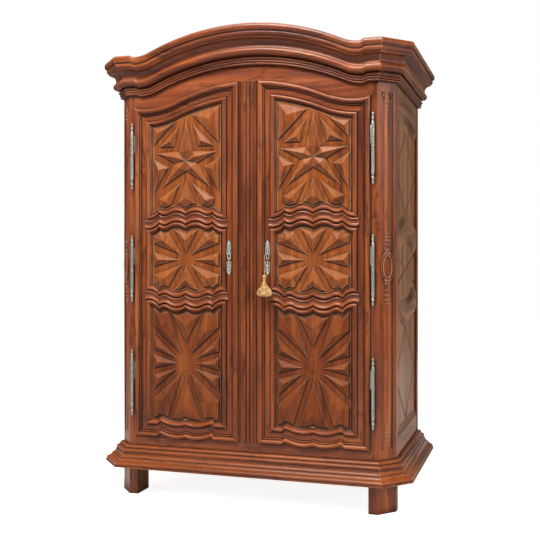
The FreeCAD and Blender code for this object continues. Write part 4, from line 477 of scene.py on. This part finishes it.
hingeCentres = (hingeLow.z + hinge["half"], hinge["middle"],
                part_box("right_door_hinge_knuckles")[1].z - hinge["half"])


def rib(work, start, x, centre, barrelEnd):
    work.verts.ensure_lookup_table()
    for vert in work.verts[start:]:
        if hinge["ribsFrom"] < centre - vert.co.z < barrelEnd - hinge["ribsShort"]:
            angle = math.atan2(vert.co.y - hingeY, vert.co.x - x)
            scale = 1 - hinge["ribDepth"] * (1 + math.cos(hinge["ribs"] * angle))
            vert.co.x = x + (vert.co.x - x) * scale
            vert.co.y = hingeY + (vert.co.y - hingeY) * scale


def makeHinges(side, word):
    x = side * hingeX
    barrelEnd = hinge["half"] - hinge["finial"]
    spread = barrelEnd - hinge["loopsShort"]
    upper, lower = bmesh.new(), bmesh.new()
    for centre in hingeCentres:
        for work, way in ((upper, 1), (lower, -1)):
            profile = [(0.0, hinge["gap"]), (hinge["radius"] - hinge["lip"], hinge["gap"]),
                       (hinge["radius"], hinge["gap"] + hinge["lipHeight"])]
            profile += [(hinge["radius"], hinge["loopsFrom"] + spread * loop / hinge["loops"])
                        for loop in range(hinge["loops"] + 1)]
            profile += [(radius, barrelEnd + height) for radius, height in finial]
            start = len(work.verts)
            turned(work, [(radius, way * height) for radius, height in profile],
                   Vector((x, hingeY, centre)), hinge["steps"])
            if way < 0:
                rib(work, start, x, centre, barrelEnd)
        thick, tall, back = hinge["leafThick"], hinge["leafHeight"], hingeY + hinge["leafBack"]
        low = centre + (barrelEnd - tall) / 2
        ends = sorted((x - side * hinge["leafReach"], x - side * hinge["leafGap"]))
        block(upper, (ends[0], back - thick, low), (ends[1], back, low + tall), hinge["leafEase"])
        low = centre - (barrelEnd + tall) / 2
        block(lower, (x - thick / 2, hingeY + hinge["leafGap"], low),
              (x + thick / 2, hingeY + hinge["leafReach"], low + tall))
    made = finishPiece(word + "HingeUpper", upper, steel, word + "_door")
    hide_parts(word + "_door_hinge_knuckles")
    made = finishPiece(word + "HingeLower", lower, steel, "carcass")
    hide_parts(word + "_hinge_lower_knuckles")


for side, word in ((1, "right"), (-1, "left")):
    makeHinges(side, word)
print("hinges")

# carved leaves on the cut-off corners, drawn across the corner, up it and out of it
carving = {"middle": (0.708, 0.038), "segments": 10, "rings": 7, "beadRings": 6, "taper": 0.45,
           "creaseDepth": 0.4, "creaseWidth": 0.3}
drops = {                                              # from the wide end of each to its tip
    "topDrop": {"full": 2.012, "tip": 1.952, "units": 3, "large": 0.0150, "small": 0.0100},
    "upperDrop": {"full": 1.282, "tip": 1.376, "units": 5, "large": 0.0190, "small": 0.0105},
    "lowerDrop": {"full": 1.124, "tip": 1.010, "units": 5, "large": 0.0190, "small": 0.0105},
    "footDrop": {"full": 0.351, "tip": 0.421, "units": 4, "large": 0.0165, "small": 0.0105},
}
unitLeaves = ((66, 1.15, 0.62, 0.30), (24, 1.0, 0.42, 0.30))    # tilt, then length, width and rise per size
unitBead = (0.25, 0.42)                                # radius and rise per size
tipLeaf = {"length": 2.2, "width": 0.3, "rise": 0.0018, "overlap": 0.003}
crown = {"height": 2.029, "halfWide": 0.025, "halfHigh": 0.026, "wire": 0.0036, "steps": 20, "footTilt": 80,
         "footLeaf": (0.017, 0.006, 0.0034), "rayTilts": (40, 100, 140), "rayLeaf": (0.0125, 0.006, 0.003),
         "bead": (0.0036, 0.0045)}
medallion = {"height": 1.203, "halfWide": 0.040, "halfHigh": 0.070, "inner": 0.015, "wire": 0.0026,
             "proud": 0.004, "tipInset": 0.004, "tipTilts": (-105, -75, -38, 38, 75, 105),
             "tipLeaf": (0.022, 0.010, 0.0045)}


def cornerPlace(side, height):
    across = Vector((side, 1, 0)).normalized()
    out = Vector((side, -1, 0)).normalized()
    place = Matrix((across, Vector((0, 0, 1)), out)).transposed().to_4x4()
    place.translation = (side * carving["middle"][0], postFace + carving["middle"][1], height)
    return place


def leaf(work, place, angle, length, width, rise):     # a pointed leaf that grows up from the place
    made = bmesh.ops.create_uvsphere(work, u_segments=carving["segments"], v_segments=carving["rings"],
                                     radius=1.0)["verts"]
    turn = Matrix.Rotation(angle, 4, "Z")
    for vert in made:
        x, z, y = vert.co                              # its poles are at the stalk and the tip
        along = (y + 1) / 2
        crease = carving["creaseDepth"] * math.exp(-(x / carving["creaseWidth"]) ** 2) if z > 0 else 0
        vert.co = place @ turn @ Vector((x * (1 - carving["taper"] * along ** 2) * width / 2, along * length,
                                         (z - crease) * rise))


def bead(work, place, radius, rise):
    made = bmesh.ops.create_uvsphere(work, u_segments=carving["segments"], v_segments=carving["beadRings"],
                                     radius=1.0)["verts"]
    for vert in made:
        vert.co = place @ Vector((vert.co.x * radius, vert.co.y * radius, vert.co.z * rise))


def makeDrop(work, side, spec):
    way = 1 if spec["tip"] > spec["full"] else -1
    turn = Matrix.Rotation(0 if way > 0 else math.pi, 4, "Z")
    shrink = (spec["small"] - spec["large"]) / (spec["units"] - 1)
    sizes = [spec["large"] + shrink * unit for unit in range(spec["units"])]
    step = abs(spec["tip"] - spec["full"]) / sum(sizes)
    height = spec["full"]
    for size in sizes:
        place = cornerPlace(side, height) @ turn
        for hand in (-1, 1):
            for tilt, length, width, rise in unitLeaves:
                leaf(work, place, hand * math.radians(tilt), size * length, size * width, size * rise)
        bead(work, place, size * unitBead[0], size * unitBead[1])
        height += way * size * step
    leaf(work, cornerPlace(side, height - way * tipLeaf["overlap"]) @ turn, 0, sizes[-1] * tipLeaf["length"],
         sizes[-1] * tipLeaf["width"], tipLeaf["rise"])


def makeCornerCarving(side, word):
    for name, spec in drops.items():
        work = bmesh.new()
        makeDrop(work, side, spec)
        if name == "topDrop":
            place = cornerPlace(side, crown["height"])
            hoop(work, place, crown["halfWide"], crown["halfHigh"], crown["wire"], math.pi, crown["steps"])
            for hand in (-1, 1):
                foot = place @ Matrix.Translation((hand * crown["halfWide"], 0, 0))
                leaf(work, foot, -hand * math.radians(crown["footTilt"]), *crown["footLeaf"])
                for tilt in crown["rayTilts"]:
                    leaf(work, place, hand * math.radians(tilt), *crown["rayLeaf"])
            bead(work, place, *crown["bead"])
        finishPiece(word + name[0].upper() + name[1:], work, woodFor["front", "z"], "carcass")
    work = bmesh.new()
    place = cornerPlace(side, medallion["height"]) @ Matrix.Translation((0, 0, medallion["proud"]))
    hoop(work, place, medallion["halfWide"] - medallion["inner"], medallion["halfHigh"] - medallion["inner"],
         medallion["wire"])
    for end in (1, -1):
        turn = Matrix.Rotation(0 if end > 0 else math.pi, 4, "Z")
        tipHeight = medallion["height"] + end * (medallion["halfHigh"] - medallion["tipInset"])
        for tilt in medallion["tipTilts"]:
            leaf(work, cornerPlace(side, tipHeight) @ turn, math.radians(tilt), *medallion["tipLeaf"])
    finishPiece(word + "Medallion", work, woodFor["front", "z"], "carcass")


for side, word in ((1, "right"), (-1, "left")):
    makeCornerCarving(side, word)
print("corner carving")

# little leaves on the bottom rails' cusps
cuspLeaf = {"height": 0.401, "back": 0.010, "length": 0.019, "width": 0.010, "rise": 0.005, "tilt": 38,
            "middleShare": 0.7}


def makeCuspLeaf(word):
    low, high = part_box(word + "_door_bottom_rail")
    place = Matrix.Translation(((low.x + high.x) / 2, low.y + cuspLeaf["back"], cuspLeaf["height"]))
    place = place @ Matrix.Rotation(math.pi / 2, 4, "X")
    work = bmesh.new()
    for hand in (-1, 1):
        leaf(work, place, hand * math.radians(cuspLeaf["tilt"]), cuspLeaf["length"], cuspLeaf["width"],
             cuspLeaf["rise"])
    share = cuspLeaf["middleShare"]
    leaf(work, place, 0, cuspLeaf["length"] * share, cuspLeaf["width"] * share, cuspLeaf["rise"])
    finishPiece(word + "CuspLeaf", work, woodFor["front", "z"], word + "_door")


for word in ("right", "left"):
    makeCuspLeaf(word)
print("cusp leaves")

# pierced escutcheons of small scrolls, with the keyhole in the middle
escutcheon = {"wire": 0.0017, "flat": 0.75, "steps": 20, "bead": (0.0026, 0.0016), "beadForward": 0.0004,
              "endHeight": 0.073, "endLeaf": (0.0155, 0.0085, 0.0016), "sideTilt": 0.9,
              "sideLeaf": (0.0095, 0.005, 0.0014)}
keyholeRing = {"up": 0.008, "halfWide": 0.0072, "halfHigh": 0.0155, "wire": 0.0024, "steps": 28, "flat": 0.6}
scrolls = (                                            # height from the middle, half gap, half wide, half high
    (0.066, 0.0052, 0.0042, 0.0070), (0.047, 0.0060, 0.0050, 0.0080), (0.026, 0.0064, 0.0054, 0.0090),
    (-0.030, 0.0064, 0.0054, 0.0090), (-0.049, 0.0060, 0.0050, 0.0080), (-0.067, 0.0052, 0.0042, 0.0070))
scrollFacing = Matrix.Rotation(math.pi / 2, 4, "X")


def makeEscutcheon(word):
    low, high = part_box(word + "_escutcheon")
    middle = (low + high) / 2
    work = bmesh.new()
    y = high.y - escutcheon["wire"] * escutcheon["flat"]
    for up, gap, wide, tall in scrolls:
        for hand in (-1, 1):
            place = Matrix.Translation((middle.x + hand * gap, y, middle.z + up)) @ scrollFacing
            hoop(work, place, wide, tall, escutcheon["wire"], steps=escutcheon["steps"], flat=escutcheon["flat"])
        place = Matrix.Translation((middle.x, y - escutcheon["beadForward"], middle.z + up + tall)) @ scrollFacing
        bead(work, place, *escutcheon["bead"])
    place = Matrix.Translation((middle.x, y, middle.z + keyholeRing["up"])) @ scrollFacing
    hoop(work, place, keyholeRing["halfWide"], keyholeRing["halfHigh"], keyholeRing["wire"],
         steps=keyholeRing["steps"], flat=keyholeRing["flat"])
    for end in (1, -1):
        turn = Matrix.Rotation(0 if end > 0 else math.pi, 4, "Z")
        place = Matrix.Translation((middle.x, y, middle.z + end * escutcheon["endHeight"])) @ scrollFacing @ turn
        leaf(work, place, 0, *escutcheon["endLeaf"])
        for hand in (-1, 1):
            leaf(work, place, hand * escutcheon["sideTilt"], *escutcheon["sideLeaf"])
    made = finishPiece(word + "Escutcheon", work, rubbedSteel, word + "_door")
    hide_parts(word + "_escutcheon")


for word in ("right", "left"):
    makeEscutcheon(word)
print("escutcheons")

# loose tongues close the joints between the back boards
backTongue = {"boards": 7, "joint": 0.0015, "halfWide": 0.006, "thick": 0.005, "short": 0.004}


def makeBackTongues():
    low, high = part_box("back_boards")
    pitch = (high.x - low.x + backTongue["joint"]) / backTongue["boards"]
    middle = (low.y + high.y) / 2
    work = bmesh.new()
    for board in range(1, backTongue["boards"]):
        x = low.x - backTongue["joint"] / 2 + board * pitch
        block(work, (x - backTongue["halfWide"], middle - backTongue["thick"] / 2, low.z + backTongue["short"]),
              (x + backTongue["halfWide"], middle + backTongue["thick"] / 2, high.z - backTongue["short"]))
    finishPiece("backTongues", work, woodFor["plain", "z"], "carcass", smooth=False)


makeBackTongues()
print("back tongues")

# the key's cord and tassel
cordTop = Vector((0.1045, -0.3862, 1.258))             # the cord's points, as its solid has them
cordBottom = Vector((0.1045, -0.3862, 1.163))
cord = {"diameter": 0.0032, "nearRing": 0.019, "loopWire": 0.0009, "loopRadius": 0.0034, "loopBack": 0.0042,
        "loopSteps": 24, "bowTurn": 60}
tassel = {"headSteps": 96, "headRibs": 28, "headRibDepth": 0.035, "bobbles": 11, "bobble": 0.0042,
          "bobbleRing": 0.0118, "bobbleFlat": 0.8, "bobbleDrop": 0.0505, "bobbleSway": 0.002, "bobbleWaves": 5,
          "skirtSteps": 336, "threads": 84, "threadDepth": 0.030, "lobes": 9, "lobeDepth": 0.045,
          "lobeStart": 0.6, "depthShare": 0.47, "flatFrom": 0.011, "flatOver": 0.02}
headProfile = [                                        # radius and depth under the cord's end
    (0.0, 0.0), (0.0034, 0.0004), (0.0075, 0.003), (0.0100, 0.0068), (0.0102, 0.0102), (0.0086, 0.0138),
    (0.0062, 0.0162), (0.0060, 0.0175), (0.0080, 0.0190), (0.0084, 0.0208), (0.0070, 0.0226), (0.0071, 0.0250),
    (0.0078, 0.0300), (0.0086, 0.0360), (0.0098, 0.0420), (0.0112, 0.0470), (0.0120, 0.0510), (0.0100, 0.0560),
    (0.0, 0.0575)]
skirtProfile = [
    (0.0, 0.0500), (0.0110, 0.0505), (0.0135, 0.0530), (0.0170, 0.0565), (0.0222, 0.0620), (0.0282, 0.0690),
    (0.0340, 0.0765), (0.0383, 0.0835), (0.0404, 0.0895), (0.0400, 0.0950), (0.0372, 0.1000), (0.0320, 0.1040),
    (0.0240, 0.1070), (0.0140, 0.1088), (0.0, 0.1094)]


def makeCord():
    curve = bpy.data.curves.new("keyCord", "CURVE")
    curve.dimensions = "3D"
    curve.bevel_depth = cord["diameter"] / 2
    curve.bevel_resolution = 4
    curve.use_fill_caps = True
    line = curve.splines.new("NURBS")
    route = (cordTop, cordTop - Vector((0, 0, cord["nearRing"])), cordBottom)
    line.points.add(len(route) - 1)
    for point, place in zip(line.points, route):
        point.co = (*place, 1)
    line.order_u = 3
    line.use_endpoint_u = True
    made = bpy.data.objects.new("keyCord", curve)
    bpy.context.scene.collection.objects.link(made)
    made.data.materials.append(silk)
    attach(made, "tassel")
    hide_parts("tassel_cord")
    return made


def makeTassel():
    work = bmesh.new()
    turned(work, [(radius, -depth) for radius, depth in headProfile], cordBottom, tassel["headSteps"])
    for vert in work.verts:
        out = Vector((vert.co.x - cordBottom.x, vert.co.y - cordBottom.y, 0))
        angle = math.atan2(out.y, out.x)
        vert.co += out * tassel["headRibDepth"] * math.cos(tassel["headRibs"] * angle)
    head = finishPiece("tasselHead", work, silk, "tassel")
    work = bmesh.new()
    for bobble in range(tassel["bobbles"]):
        angle = 2 * math.pi * bobble / tassel["bobbles"]
        spot = Vector((math.cos(angle), math.sin(angle) * tassel["bobbleFlat"], 0)) * tassel["bobbleRing"]
        sway = tassel["bobbleSway"] * math.sin(tassel["bobbleWaves"] * angle)
        spot += cordBottom - Vector((0, 0, tassel["bobbleDrop"] + sway))
        bmesh.ops.create_icosphere(work, subdivisions=2, radius=tassel["bobble"],
                                   matrix=Matrix.Translation(spot))
    finishPiece("tasselBobbles", work, silk, "tassel")
    work = bmesh.new()
    turned(work, [(radius, -depth) for radius, depth in skirtProfile], cordBottom, tassel["skirtSteps"])
    for vert in work.verts:
        out = Vector((vert.co.x - cordBottom.x, vert.co.y - cordBottom.y, 0))
        angle = math.atan2(out.y, out.x)
        wave = tassel["threadDepth"] * abs(math.sin(tassel["threads"] * angle / 2))
        lobe = abs(math.sin(tassel["lobes"] * angle / 2 + tassel["lobeStart"]))
        wave += tassel["lobeDepth"] * lobe - tassel["lobeDepth"]
        out *= 1 + wave
        share = min(1.0, max(0.0, (out.length - tassel["flatFrom"]) / tassel["flatOver"]))
        flat = 1 - (1 - tassel["depthShare"]) * share
        vert.co.x = cordBottom.x + out.x
        vert.co.y = cordBottom.y + out.y * flat
    skirt = finishPiece("tasselSkirt", work, silk, "tassel")
    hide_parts("tassel")
    return head


def makeLoop():                                        # ties the cord to the front of the key's bow
    place = Matrix.Translation((cordTop.x, cordTop.y + cord["loopBack"], cordTop.z))
    place = place @ Matrix.Rotation(math.radians(cord["bowTurn"]), 4, "Y")
    work = bmesh.new()
    hoop(work, place, cord["loopRadius"], cord["loopRadius"], cord["loopWire"], steps=cord["loopSteps"])
    finishPiece("cordLoop", work, silk, "key")


hangingCord = makeCord()
tasselHead = makeTassel()
makeLoop()
print("cord and tassel")
